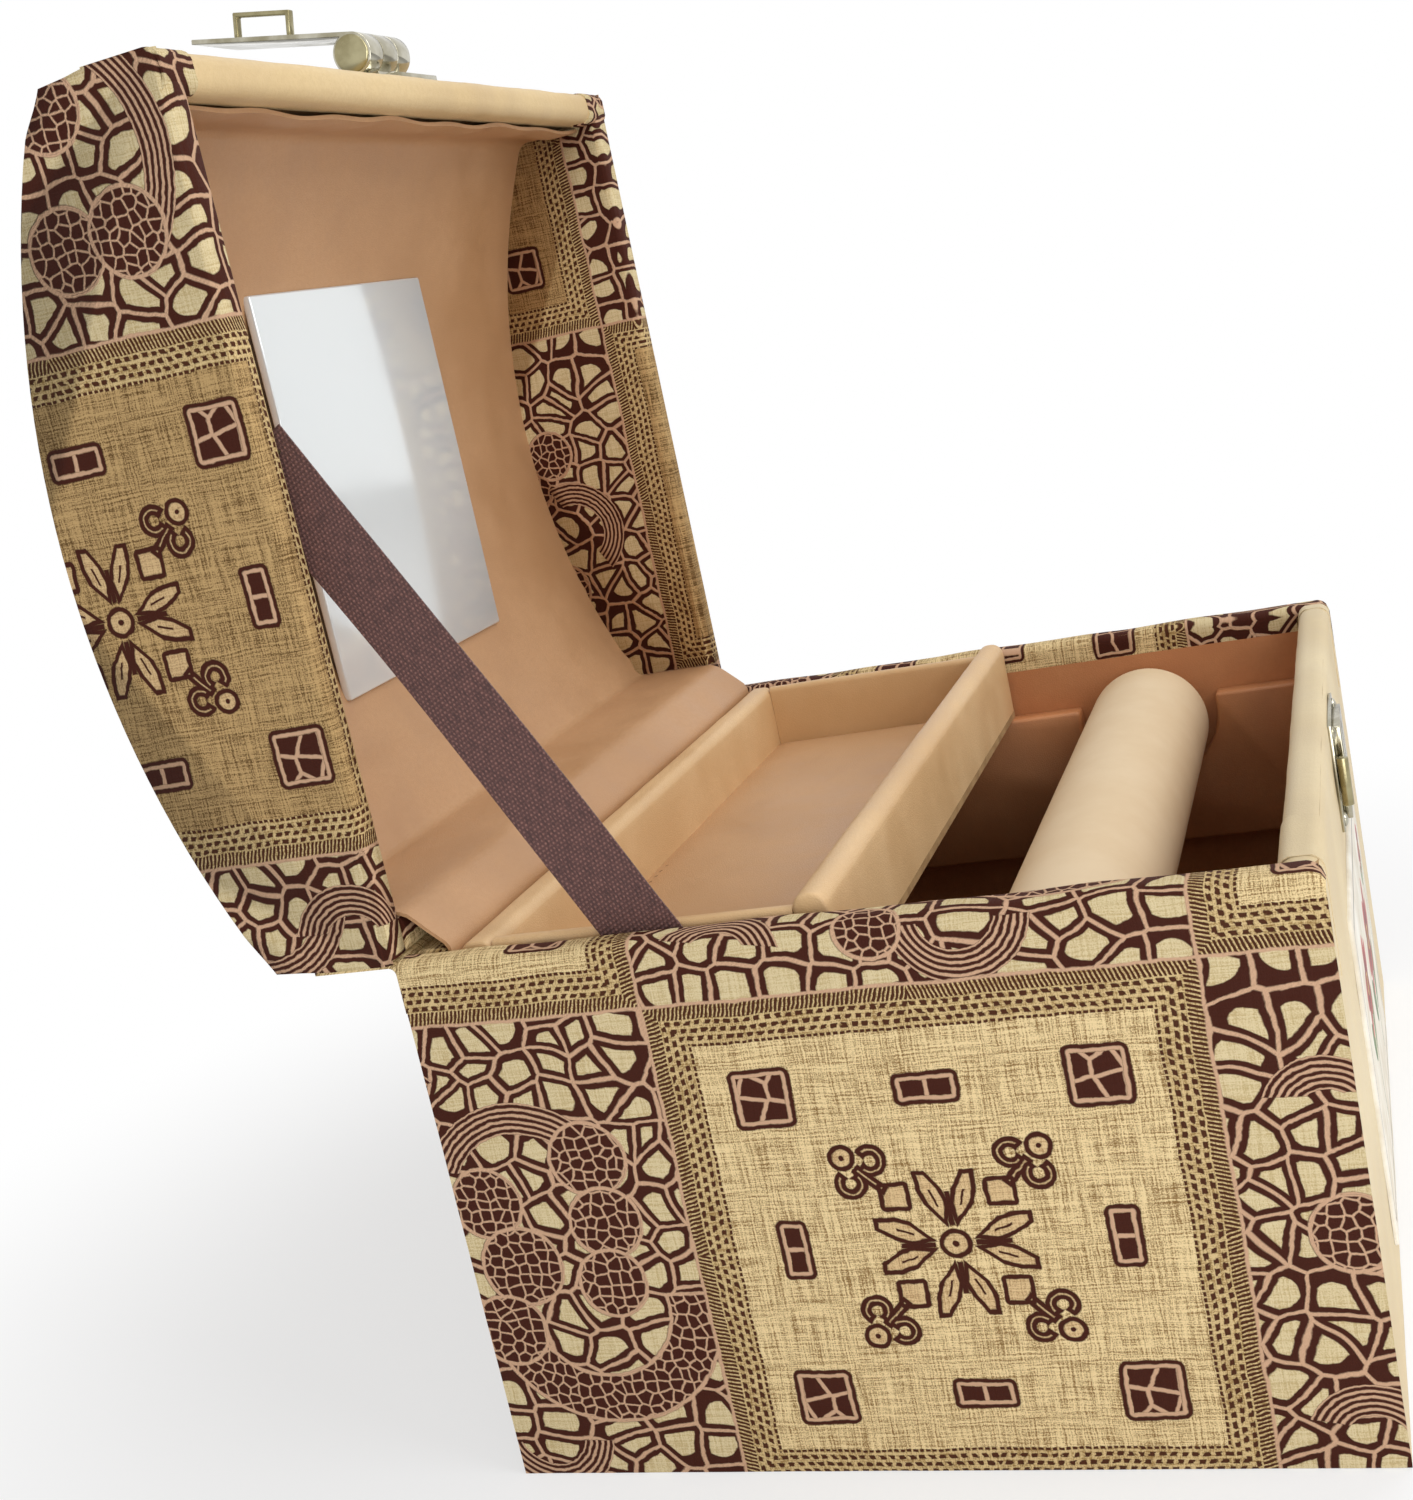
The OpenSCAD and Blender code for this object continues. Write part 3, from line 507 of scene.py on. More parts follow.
def brocade(name, pick, centre, figures, gold=BASE_GOLD_PAINTED_LIGHT):
    """The cloth on one side of the box. pick takes its two directions from x, y and z. gold is the
    field's yarn, with painted light on the base's cloth and painted shade on the lid's.
    """
    paint = Shader(name)
    u, v = pick(paint, *paint.place())
    flat = paint.join(u, v)
    drift = paint.noise(flat, 0.05, 1.0) - 0.5
    fine = paint.noise(flat, 0.40, 2.0) - 0.5
    u = u - centre[0] + drift * 1.6 + fine * 0.8
    v = v - centre[1] - drift * 1.6 + fine * 0.8
    column = ((u + TILE / 2) / TILE).floor()
    rank = ((v + TILE / 2) / TILE).floor()
    mosaic = (column + rank) % 2.0
    a = (u + TILE / 2) % TILE - TILE / 2
    b = (v + TILE / 2) % TILE - TILE / 2
    edge = abs(a).high(abs(b))
    dark, cords, ground, pale = gold_square(paint, a, b)
    band = paint.step(edge, 57.9, 58.1) * (1 - mosaic)
    stitches = braid(paint, a, b, edge, abs(a).low(abs(b)))
    bend_a = (paint.noise(flat, 0.045, 1.0) - 0.5) * 0.7
    bend_b = (paint.noise(paint.join(u + 70.0, v - 30.0), 0.045, 1.0) - 0.5) * 0.7
    stone_cords, stone_pale = pebbles(paint, a, b, (bend_a, bend_b), *figures)
    rim = paint.line(edge - TILE / 2, 0.95, EDGE_SOFT)
    thread = threads(paint, u, v)
    shade = paint.step(thread, 0.40, 0.56)

    def yarn(light, shaded):
        return paint.mix(shade, shaded, light)

    field = paint.mix(pale * 0.8, yarn(*gold), yarn(*PETAL))
    for mask, laid_over in ((ground, DARK), (cords, CORD), (dark, DARK)):
        field = paint.mix(mask, field, laid_over)
    field = paint.mix(band, field, paint.mix(stitches, yarn(*BRAID_GOLD), BRAID_DARK))
    stones = paint.mix(stone_cords, paint.mix(stone_pale, DARK, yarn(*CREAM)), CORD)
    colour = paint.mix(rim, paint.mix(mosaic, field, stones), CORD)
    twist = paint.step((u + v) % 1.5, 0.2, 0.9) * 0.2
    gold_height = (1 - dark) * 0.5 + cords * 0.4 - ground * 0.3
    gold_height = gold_height * (1 - band) + (0.6 - stitches * 0.45) * band
    stone_height = stone_pale * 0.4 + stone_cords * (0.85 + twist)
    height = gold_height * (1 - mosaic) + stone_height * mosaic + thread * 0.7
    normal = paint.bump(height.high(rim * (0.85 + twist)), 0.0007, 0.75)
    gloss = paint.step(thread, 0.35, 0.65, 0.85, 0.68)
    return paint.surface(Base_Color=colour, Roughness=gloss, Normal=normal, Specular_IOR_Level=0.15)


# %% [markdown]
# A cloth that is folded over a rim keeps its pattern: the weave runs up the outside, across the rim
# and down the inside. So its coordinate is the length along the cloth, and not a plain x, y or z.
# It grows by the rim's width across the top and then grows on while the height falls.

# %% Cloth directions
HALF_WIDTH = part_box("base_right_cover")[1][0] / MM
WALL = HALF_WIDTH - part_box("lid_lining")[1][0] / MM
BASE_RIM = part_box("base_left_cover")[1][2] / MM
LID_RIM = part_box("lid_left_cover")[0][1] / MM
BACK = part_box("base_back_cover")[1][1] / MM
ROUND = 3.0
# the dome is an arc over the lid's depth, so much higher in its middle than at its edges
DOME_RISE = 29.0
DOME_LOW, DOME_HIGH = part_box("lid_top_cover")
DOME_HALF = (DOME_HIGH[2] - DOME_LOW[2]) / MM / 2
DOME_MIDDLE = (DOME_HIGH[2] + DOME_LOW[2]) / MM / 2
DOME_RADIUS = (DOME_HALF ** 2 + DOME_RISE ** 2) / (2 * DOME_RISE)
DOME_CENTRE = DOME_HIGH[1] / MM - DOME_RADIUS
DOME_START = BASE_RIM + DOME_HIGH[1] / MM - DOME_RISE - BACK


def over_rim(paint, x, height, rim):
    """Length along a side's cloth that rises to the rim, crosses it and goes down inside."""
    across = HALF_WIDTH - abs(x)
    outside = height + across
    inside = 2 * (rim - ROUND) + WALL - height
    below = paint.step(height, rim - ROUND + 0.1, rim - ROUND)
    folded = paint.step(across, WALL - 1.0, WALL - 0.9) * below
    return outside * (1 - folded) + inside * folded


def base_side_way(paint, x, y, z):
    return y, over_rim(paint, x, z, BASE_RIM)


def lid_side_way(paint, x, y, z):
    """The lid's sides: its rim is its lowest y while it stands open."""
    return over_rim(paint, x, -1 * y, -LID_RIM) * -1, z


def back_way(paint, x, y, z):
    """Up the back, over the hinge's corner and along the lid's back wall and the dome's arc."""
    flat = z + (y - BACK)
    turn = paint.math("ARCTAN2", z - DOME_MIDDLE, y - DOME_CENTRE)
    round_way = DOME_START + (turn + math.asin(DOME_HALF / DOME_RADIUS)) * DOME_RADIUS
    from_centre = ring_distance(y - DOME_CENTRE, z - DOME_MIDDLE, DOME_RADIUS)
    above_hinge = paint.step(z, BASE_RIM - 1.5, BASE_RIM - 1.0)
    on_dome = paint.step(from_centre, -2.4, -1.8) * above_hinge
    return x, flat * (1 - on_dome) + round_way * on_dome


base_side_cloth = brocade("brocade_base_side", base_side_way, (-17.5, 64.5), BASE_FIGURES)
base_right_cloth = brocade("brocade_base_right", base_side_way, (2.8, 199.8), BASE_FIGURES)
# the lid's cloths take the gold with painted shade
lid_left_cloth = brocade("brocade_lid_left", lid_side_way, (171.0, 253.5), LID_FIGURES, LID_GOLD_PAINTED_SHADE)
lid_right_cloth = brocade("brocade_lid_right", lid_side_way, (166.9, 233.0), LID_FIGURES, LID_GOLD_PAINTED_SHADE)
back_cloth = brocade("brocade_back", back_way, (0.0, 64.5), BASE_FIGURES)
print("brocade nodes:", len(base_side_cloth.node_tree.nodes))
print("wall", round(WALL, 2), "mm, rims at", BASE_RIM, "and", round(LID_RIM, 2))


# %% [markdown]
# Leatherette is plastic with a pressed grain. Small Voronoi cells give the grain, broad noise gives
# the uneven tint, and finer noise gives the faint wrinkles that glued leatherette always has. The
# tray's floor also has a row of pricked holes along its back, left by an old seam; their brown is
# painted shade in their depth.

# %% Leatherettes
GRAIN = 0.8
# the brown inside the pricked holes is painted shade in their depth
HOLE_PAINTED_SHADE = rgb(96, 58, 34)


def leatherette(name, light, shade, rough, holes=None):
    """Leatherette: a fine grain, uneven colour and faint wrinkles. holes may draw pricked holes."""
    paint = Shader(name)
    point = paint.point()
    cloud = paint.noise(point, 9.0, 2.0, 0.5)
    blotch = paint.noise(point, 45.0, 3.0, 0.6)
    tint = paint.step(cloud * 0.7 + blotch * 0.3, 0.32, 0.66)
    colour = paint.mix(tint, shade, light)
    scaled = paint.node("VectorMath", {"operation": "SCALE"}, {0: point, "Scale": 1 / (GRAIN * MM)})
    cells = paint.voronoi(scaled, flat=False)
    grit = paint.noise(point, 700.0, 2.0, 0.6)
    colour = paint.mix(paint.step(grit, 0.35, 0.65, 0.0, 0.22), colour, shade)
    height = paint.step(cells, 0.0, 0.25) * 0.35 + paint.noise(point, 90.0, 3.0, 0.6) * 0.9
    if holes is not None:
        mask = holes(paint, *paint.place())
        # the holes are brown: painted shade in their depth
        colour = paint.mix(mask, colour, HOLE_PAINTED_SHADE)
        height = height - mask * 2.0
    normal = paint.bump(height, 0.00022, 0.5)
    gloss = paint.step(blotch, 0.3, 0.7, rough - 0.07, rough + 0.07)
    return paint.surface(Base_Color=colour, Roughness=gloss, Normal=normal, Specular_IOR_Level=0.4)


STITCH_PITCH = 5.2
STITCH_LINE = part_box("tray_back_wall")[0][1] / MM - 3.2
HOLE_RADIUS = 0.62


def tray_stitches(paint, x, y, z):
    """Pricked holes along the back of the tray's floor, dense on the left and few elsewhere."""
    scatter = paint.noise(paint.join(x * 0.3, 0.0), 1.0, 1.0) - 0.5
    step_x = (x % STITCH_PITCH) - STITCH_PITCH / 2
    hole = ring_distance(step_x, y - STITCH_LINE - scatter * 3.0, HOLE_RADIUS)
    return paint.step(hole, 0.15, -0.25) * paint.step(abs(x + 62.0), 46.0, 42.0)


rim_leather = leatherette("rim_leatherette", rgb(226, 209, 172), rgb(207, 186, 146), 0.52)
lid_leather = leatherette("lid_rim_leatherette", rgb(222, 196, 148), rgb(198, 168, 120), 0.50)
tray_leather = leatherette("tray_leatherette", rgb(226, 192, 146), rgb(208, 170, 122), 0.46)
tan_leather = leatherette("tan_lining", rgb(196, 154, 114), rgb(178, 135, 95), 0.46)
# the inside of the base: a darker, redder copy of the tan lining, as painted shade and reddish
# bounce light
base_leather_painted_shade = leatherette("base_lining_painted_shade", rgb(206, 146, 98), rgb(184, 122, 78), 0.50)
tray_floor_leather = leatherette("tray_floor_lining", rgb(206, 166, 124), rgb(188, 147, 106), 0.46,
                                 tray_stitches)
print("holes along y", round(STITCH_LINE, 1), "mm")


# %% [markdown]
# The plated metal is bright, but it isn't clean: smudges change its gloss and fine scratches break
# its reflections. The olive tint of old lacquer is strongest on the round ends of the clasp.

# %% Metals
def metal(name, colour, tarnish, rough=0.2):
    """Polished plating with smudges and fine scratches."""
    paint = Shader(name)
    point = paint.point()
    smudge = paint.noise(point, 70.0, 4.0, 0.6)
    stretched = paint.node("VectorMath", {"operation": "MULTIPLY"}, {0: point, 1: (60, 1500, 900)})
    scratch = paint.noise(stretched, 1.0, 2.0)
    gloss = paint.step(smudge, 0.3, 0.75, rough * 0.6, rough * 1.6)
    tone = paint.mix(paint.step(smudge, 0.30, 0.70), colour, tarnish)
    normal = paint.bump(scratch, 0.00001, 0.3)
    return paint.surface(Base_Color=tone, Metallic=1.0, Roughness=gloss, Normal=normal)


nickel = metal("nickel", rgb(204, 200, 184), rgb(150, 143, 118), 0.15)
brass = metal("brass", rgb(180, 172, 136), rgb(134, 124, 90), 0.24)
print("metals:", nickel.name, brass.name)

# %% [markdown]
# What is left is matt: bare board, brown paper, felt, card and velour. One recipe does for all of
# them, a clouded tint with a slight relief, because only its colours and its scale differ.

# %% Plain finishes
def plain(name, colour, shade, rough=0.7, scale=40.0, bump=0.0002):
    """A matt finish with a clouded tint."""
    paint = Shader(name)
    cloud = paint.noise(paint.point(), scale, 5.0, 0.65)
    tone = paint.mix(paint.step(cloud, 0.35, 0.65), shade, colour)
    return paint.surface(Base_Color=tone, Roughness=rough, Normal=paint.bump(cloud, bump, 0.6))


board = plain("board", rgb(176, 142, 98), rgb(150, 116, 76), 0.8, 120.0)
paper_brown = plain("paper", rgb(74, 48, 36), rgb(60, 38, 30), 0.85, 150.0)
felt = plain("felt", rgb(58, 18, 14), rgb(34, 9, 7), 0.95, 900.0, 0.0004)
card = plain("card", rgb(168, 148, 116), rgb(146, 124, 94), 0.85, 200.0)
pad_card = plain("pad", rgb(96, 84, 72), rgb(80, 68, 58), 0.85, 200.0)
velour = plain("velour", rgb(224, 200, 164), rgb(219, 193, 155), 0.62, 30.0, 0.00005)
print("matt:", [finish.name for finish in (board, paper_brown, felt, card, pad_card, velour)])

# %% [markdown]
# The ribbon is grosgrain: fine ribs cross it from edge to edge, and it is paler where its ribs and
# dots stand highest, which from a step away looks like rows of pale dots. The pattern is turned to
# follow the ribbon's own line, which the CAD gives as the direction between its two pairs of tacks.

# %% Ribbon cloth
base_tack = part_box("base_tacks")
lid_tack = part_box("lid_tacks")
RIBBON_FROM = Vector(base_tack[0]).lerp(Vector(base_tack[1]), 0.5) / MM
RIBBON_TO = Vector(lid_tack[0]).lerp(Vector(lid_tack[1]), 0.5) / MM
RIBBON_WAY = (RIBBON_TO - RIBBON_FROM).normalized()


def ribbon_weave():
    """Grosgrain: ribs across the ribbon, and pale dots that change places from rib to rib."""
    rib_pitch, dot_pitch = 1.15, 1.2
    paint = Shader("ribbon")
    x, y, z = paint.place()
    along = y * RIBBON_WAY.y + z * RIBBON_WAY.z
    across = z * RIBBON_WAY.y - y * RIBBON_WAY.z
    rib = (along * (2 * math.pi / rib_pitch)).sin()
    row = (along / rib_pitch).floor() % 2.0
    dot = ((across + row * (dot_pitch / 2)) * (2 * math.pi / dot_pitch)).sin()
    cloud = paint.noise(paint.join(along * 0.25, across * 2.2), 1.0, 3.0, 0.6)
    pale = paint.step(rib * 0.5 + dot * 0.5, 0.1, 0.7) * paint.step(cloud, 0.30, 0.62)
    colour = paint.mix(paint.step(cloud, 0.3, 0.7), rgb(66, 38, 36), rgb(94, 58, 54))
    # paler where the ribs and dots stand highest, at the same heights that the bump raises
    colour = paint.mix(pale * 0.8, colour, rgb(146, 104, 94))
    normal = paint.bump(rib * 0.6 + dot * 0.25 + cloud * 0.3, 0.00022, 0.7)
    return paint.surface(Base_Color=colour, Roughness=0.66, Normal=normal, Sheen_Weight=0.2)


ribbon_cloth = ribbon_weave()
print("ribbon runs along", tuple(round(c, 2) for c in RIBBON_WAY))

# %% [markdown]
# The mirror is a bright surface that is only partly metallic, because a full mirror would show the
# empty studio as a hard picture. Its pale base colour is a painted reflection of a bright room. The
# print on the front is three plain flowers in a frame. Each is a few distances: a leaf is a
# stretched circle, and a petal is where a sine of the angle is high.

# %% Mirror and printed panel
# each blossom is (along, up, radius, petals, turn), in mm and radians from the panel's middle
BLOSSOMS = ((-30, 12, 16, 5, 0.3), (24, 6, 19, 6, 0.9), (54, 26, 9, 5, 0.0))
FRAME_INSET = 5


def mirror_glass():
    """Silvered glass: partly metallic, with a faint haze of dust, and a pale base colour that is a
    painted reflection.
    """
    paint = Shader("mirror_glass")
    haze = paint.noise(paint.point(), 30.0, 3.0, 0.6)
    gloss = paint.step(haze, 0.3, 0.8, 0.10, 0.16)
    # the pale base colour, under a low metallic, is a painted reflection of a bright room
    return paint.surface(Base_Color=rgb(234, 240, 242), Metallic=0.28, Roughness=gloss)


def printed_panel(middle_z):
    """A generic print: a mottled pale ground, a dark frame line, red blossoms, leaves and stems."""
    paint = Shader("picture")
    x, y, z = paint.place()
    up = z - middle_z
    cloud = paint.noise(paint.join(x * 0.05, up * 0.05), 1.0, 4.0, 0.6)
    colour = paint.mix(paint.step(cloud, 0.30, 0.70), rgb(214, 204, 184), rgb(240, 236, 226))
    wobble = (paint.noise(paint.join(x, up), 0.12, 2.0) - 0.5) * 3.0
    for place_x, place_up, size, *_ in BLOSSOMS:
        dx, dz = x - place_x, up - place_up
        # a stem that bends down to the panel's foot, and two leaves beside it
        stem = paint.line(dx + dz * 0.25 + wobble, 1.3, 0.3) * paint.step(up, -36.5, -36.0)
        colour = paint.mix(stem * paint.step(dz, 0.0, -2.0), colour, rgb(84, 104, 58))
        for side in (-1, 1):
            leaf_a = dx * 0.7 * side + dz * 0.7 + size * 0.2
            leaf_b = dz * 0.7 - dx * 0.7 * side + size * 1.05
            leaf = (leaf_a * leaf_a * 0.55 + leaf_b * leaf_b * 3.2).math("SQRT") - size * 0.46
            vein = paint.line(leaf_b, 0.6, 0.3)
            green = paint.mix(vein, rgb(78, 108, 58), rgb(150, 164, 104))
            colour = paint.mix(paint.step(leaf, 0.3, -0.3), colour, green)
    for place_x, place_up, size, petals, turn in BLOSSOMS:
        dx, dz = x - place_x, up - place_up
        out = ring_distance(dx, dz, 0.0)
        turned = paint.math("ARCTAN2", dz, dx) * (petals / 2) + turn
        petal = out - size * 0.62 - abs(turned.sin()) * size * 0.36
        shade = paint.step(out + wobble, size * 0.25, size * 0.95)
        red = paint.mix(shade, rgb(112, 22, 32), rgb(186, 66, 62))
        red = paint.mix(paint.line(abs(turned.sin()) * size, 1.2, 0.5), red, rgb(86, 16, 26))
        colour = paint.mix(paint.step(petal, 0.3, -0.3), colour, red)
        heart = paint.step(out, size * 0.12, size * 0.18)
        heart = paint.mix(heart, rgb(150, 104, 48), rgb(222, 184, 96))
        colour = paint.mix(paint.step(out, size * 0.22 + 0.3, size * 0.22 - 0.3), colour, heart)
    half_wide, half_high = ((panel_high[n] - panel_low[n]) / MM / 2 - FRAME_INSET for n in (0, 2))
    frame_line = abs(box_distance(x, up, half_wide, half_high, 2.0))
    colour = paint.mix(paint.line(frame_line, 1.2, 0.25), colour, rgb(70, 42, 34))
    weave = (x * 6.0).sin() * 0.5 + (up * 6.0).sin() * 0.5
    return paint.surface(Base_Color=colour, Roughness=0.42, Normal=paint.bump(weave, 0.00008, 0.5))


mirror_finish = mirror_glass()
panel_low, panel_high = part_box("picture_panel")
picture_print = printed_panel((panel_low[2] + panel_high[2]) / 2 / MM)
print("print:", len(BLOSSOMS), "blossoms")

# %% [markdown]
# The new pieces are modelled with the operators that a hand would use. Two starts cover most of
# them: a block between two corners, and a strip of cloth that follows a profile. The helpers below
# choose what an operator works on by its place, because everything else has to be deselected.

# %% Modelling helpers
def extent(node):
    """A CAD node's low and high corner, in millimetres."""
    return [Vector(corner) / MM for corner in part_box(node)]


def pick_only(piece):
    bpy.ops.object.select_all(action="DESELECT")
    piece.select_set(True)
    bpy.context.view_layer.objects.active = piece


def choose(piece, kind, test):
    """Selects the edges or faces that pass the test and stays in edit mode. The test gets the
    middle of each, in mm, and its way: an edge's direction or a face's normal."""
    pick_only(piece)
    bpy.ops.object.mode_set(mode="EDIT")
    bpy.ops.mesh.select_mode(type=kind)
    bpy.ops.mesh.select_all(action="DESELECT")
    bpy.ops.object.mode_set(mode="OBJECT")
    mesh = piece.data
    if kind == "FACE":
        for face in mesh.polygons:
            face.select = bool(test(face.center / MM, face.normal))
    else:
        for edge in mesh.edges:
            first, last = (mesh.vertices[index].co for index in edge.vertices)
            edge.select = bool(test((first + last) / 2 / MM, (last - first).normalized()))
    bpy.ops.object.mode_set(mode="EDIT")


def leave():
    bpy.ops.object.mode_set(mode="OBJECT")


def added(name, operator, **settings):
    """The object that one of the operators for new meshes adds, under its name."""
    bpy.ops.object.select_all(action="DESELECT")
    operator(**settings)
    piece = bpy.context.object
    piece.name = piece.data.name = name
    return piece


def block(name, low, high):
    """A box between two corners, the start of most rigid pieces."""
    middle = (Vector(low) + Vector(high)) / 2
    piece = added(name, bpy.ops.mesh.primitive_cube_add, size=MM, location=middle * MM)
    piece.scale = Vector(high) - Vector(low)
    bpy.ops.object.transform_apply(location=True, rotation=True, scale=True)
    return piece


def plane_between(name, corners):
    """A flat sheet: a plane whose corners are moved to four places, in metres."""
    piece = added(name, bpy.ops.mesh.primitive_plane_add, size=MM)
    for vertex, corner in zip(piece.data.vertices, corners):
        vertex.co = corner
    return piece


def strip(name, profile, axis, start, end):
    """A strip of cloth: one edge drawn from start to end along the axis, and extruded from point to
    point of the profile, whose points are the two other coordinates."""
    def place(point, along):
        return Vector((along, *point) if axis == "x" else (point[0], along, point[1])) * MM

    corners = [place(point, along) for point in profile[:2] for along in (start, end)]
    piece = plane_between(name, corners)
    front = (corners[2] + corners[3]) / 2 / MM
    choose(piece, "EDGE", lambda middle, way: (middle - front).length < 0.001)
    for before, after in zip(profile[1:], profile[2:]):
        move = place(after, 0) - place(before, 0)
        bpy.ops.mesh.extrude_region_move(TRANSFORM_OT_translate={"value": move})
    leave()
    return piece


def cut_edges(piece, cuts, test):
    """Cuts the chosen edges, so that the piece can bend there."""
    choose(piece, "EDGE", test)
    bpy.ops.mesh.subdivide(number_cuts=cuts)
    leave()


def divide(piece, **cuts):
    """Cuts every edge that runs along x, y or z as often as is said for it."""
    for axis, count in cuts.items():
        index = "xyz".index(axis)
        cut_edges(piece, count, lambda middle, way: abs(way[index]) > 0.95)


def round_edges(piece, radius, steps, test):
    """Bevels the chosen edges to a round of that radius."""
    choose(piece, "EDGE", test)
    bpy.ops.mesh.bevel(offset=radius * MM, segments=steps, profile=0.5, clamp_overlap=True)
    leave()


def modify(piece, kind, **settings):
    """Adds a modifier and applies it at once."""
    pick_only(piece)
    modifier = piece.modifiers.new(kind.lower(), kind)
    for key, value in settings.items():
        setattr(modifier, key, value)
    bpy.ops.object.modifier_apply(modifier=modifier.name)


def thicken(piece, thickness):
    """Gives a sheet its thickness, on the far side of its normals."""
    modify(piece, "SOLIDIFY", thickness=thickness * MM, offset=-1.0, use_even_offset=True)


def ripple(piece, height, size):
    """Moves the surface along its normals by soft noise, as padding under cloth does."""
    clouds = bpy.data.textures.new(piece.name + "_ripple", "CLOUDS")
    clouds.noise_scale = size * MM
    pick_only(piece)
    modify(piece, "DISPLACE", texture=clouds, strength=height * MM, mid_level=0.5)
    bpy.data.textures.remove(clouds)


def form(piece, move):
    """Moves each vertex by what move says for its place, both in mm."""
    for vertex in piece.data.vertices:
        x, y, z = vertex.co / MM
        vertex.co += Vector(move(x, y, z)) * MM


def arc(middle, radius, start, end, steps):
    """Points of an arc, from the start angle to the end angle in degrees."""
    turns = [math.radians(start + (end - start) * step / steps) for step in range(steps + 1)]
    return [(middle[0] + radius * math.cos(turn), middle[1] + radius * math.sin(turn))
            for turn in turns]


def share_of(value):
    """The value, held between 0 and 1."""
    return max(0.0, min(1.0, value))


def hill(value, middle, width):
    """A smooth hill of height 1 at the middle, which ends a width away on each side."""
    share = share_of(abs(value - middle) / width)
    return (1 - share * share) ** 2


def finish(piece, finish_material, slot, body, *nodes, angle=40.0):
    """The last step of a piece: shading, finish, the nodes that it stands for and its body."""
    pick_only(piece)
    bpy.ops.object.shade_smooth_by_angle(angle=math.radians(angle))
    piece.data.materials.clear()
    piece.data.materials.append(finish_material)
    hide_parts(*nodes)
    if body is not None:
        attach(piece, body)
    print(piece.name, "has", len(piece.data.polygons), "faces")
    return piece


def refined(node, edge_round, finish_material, slot, body, name=None, shape=None):
    """A CAD node's own shape, with its sharp edges rounded as on pressed metal."""
    source = nodes[node]
    piece = bpy.data.objects.new(name or node + "_finished", source.data.copy())
    bpy.context.scene.collection.objects.link(piece)
    pick_only(piece)
    bpy.ops.object.mode_set(mode="EDIT")
    bpy.ops.mesh.select_all(action="SELECT")
    bpy.ops.mesh.remove_doubles(threshold=0.01 * MM)
    if edge_round:
        bpy.ops.mesh.dissolve_limited(angle_limit=math.radians(0.5))
    leave()
    if shape is not None:
        shape(piece)
    if edge_round:
        modify(piece, "BEVEL", width=edge_round * MM, segments=2, limit_method="ANGLE",
               angle_limit=math.radians(35), use_clamp_overlap=True)
    return finish(piece, finish_material, slot, body, node)


# %% [markdown]
# The front of the base is leatherette over a padded board. It is one sheet: it starts under the
# box, goes up the front, over the rim and a little way down inside, where the lining meets it. So
# it is made as a strip along that path, thickened, and made a little uneven by its padding. The
# lock's slot is cut through it last.

# %% Front cover
low, high = extent("base_front_cover")
COVER = 1.2
RIM_ROUND = 4.0
slot_low, slot_high = extent("lock_case")
SLOT_HALF = 2.3
SLOT_END = 12.0
slot_middle = (slot_low.z + slot_high.z) / 2
FOLD_IN = 9.0


def rim_profile(outer, inner, bottom, top, fold, radius=RIM_ROUND):
    """Up the outside, over the padded rim and down the inside, for walls that rise to a rim."""
    side = 1 if inner > outer else -1
    up = arc((outer + side * radius, top - radius), radius, 90 + side * 90, 90, 5)
    down = arc((inner - side * radius, top - radius), radius, 90, 90 - side * 90, 5)
    return [(outer, bottom)] + up + down + [(inner, fold)]


def cut_slot(piece, depth_low, depth_high):
    """Cuts the lock's slot through a piece and removes the cutter."""
    cutter = block("cutter", (-SLOT_HALF, depth_low, slot_middle - SLOT_END),
                   (SLOT_HALF, depth_high, slot_middle + SLOT_END))
    modify(piece, "BOOLEAN", object=cutter, operation="DIFFERENCE", solver="MANIFOLD")
    bpy.data.objects.remove(cutter)


front_path = rim_profile(low.y, high.y, low.z, high.z, high.z - FOLD_IN)
front_cover = strip("front_cover", front_path, "x", low.x, high.x)
divide(front_cover, x=60, z=12)
thicken(front_cover, COVER)
ripple(front_cover, 0.5, 26.0)


def under_sides(x, y, z):
    """The front's sheet lies under the sides' cloth at both corners and nowhere stands out."""
    under = share_of((abs(x) - 145.0) / 2.0) * share_of((z - 140.0) / 6.0)
    return (0, max(0.0, low.y - y) + under * 0.5, -1.3 * under)


form(front_cover, under_sides)
cut_slot(front_cover, low.y - 2, low.y + 4)
finish(front_cover, rim_leather, "cream_leatherette", "base", "base_front_cover")

# %% [markdown]
# Near each end of the front rim the leatherette overlaps itself: a second layer is glued over the
# first, and its cut edge draws a fine line across the rim. Each is a short strip on the same path.

# %% Overlaps on the front rim
PROUD = 0.35
OVERLAP_DOWN = 30.0


def overlap(name, start, end):
    bottom, top = high.z - OVERLAP_DOWN, high.z + PROUD
    path = rim_profile(low.y - PROUD + 0.2, high.y + PROUD, bottom, top, high.z - FOLD_IN + 1.0)
    piece = strip(name, path, "x", start, end)
    divide(piece, x=10, z=6)
    thicken(piece, PROUD)
    ripple(piece, 0.25, 14.0)
    form(piece, lambda x, y, z: (0, 0, min(0.0, high.z + 0.15 - z)))
    return finish(piece, rim_leather, "cream_leatherette", "base")


overlap("front_rim_overlap_left", low.x + 10.0, -112.0)
overlap("front_rim_overlap_right", 137.0, high.x - 10.0)

# %% [markdown]
# The front lining is glued only at its edges, and below the rim it stands off the wall in soft
# waves. So it is a strip cut into many small faces, which are then moved by a sum of smooth hills.

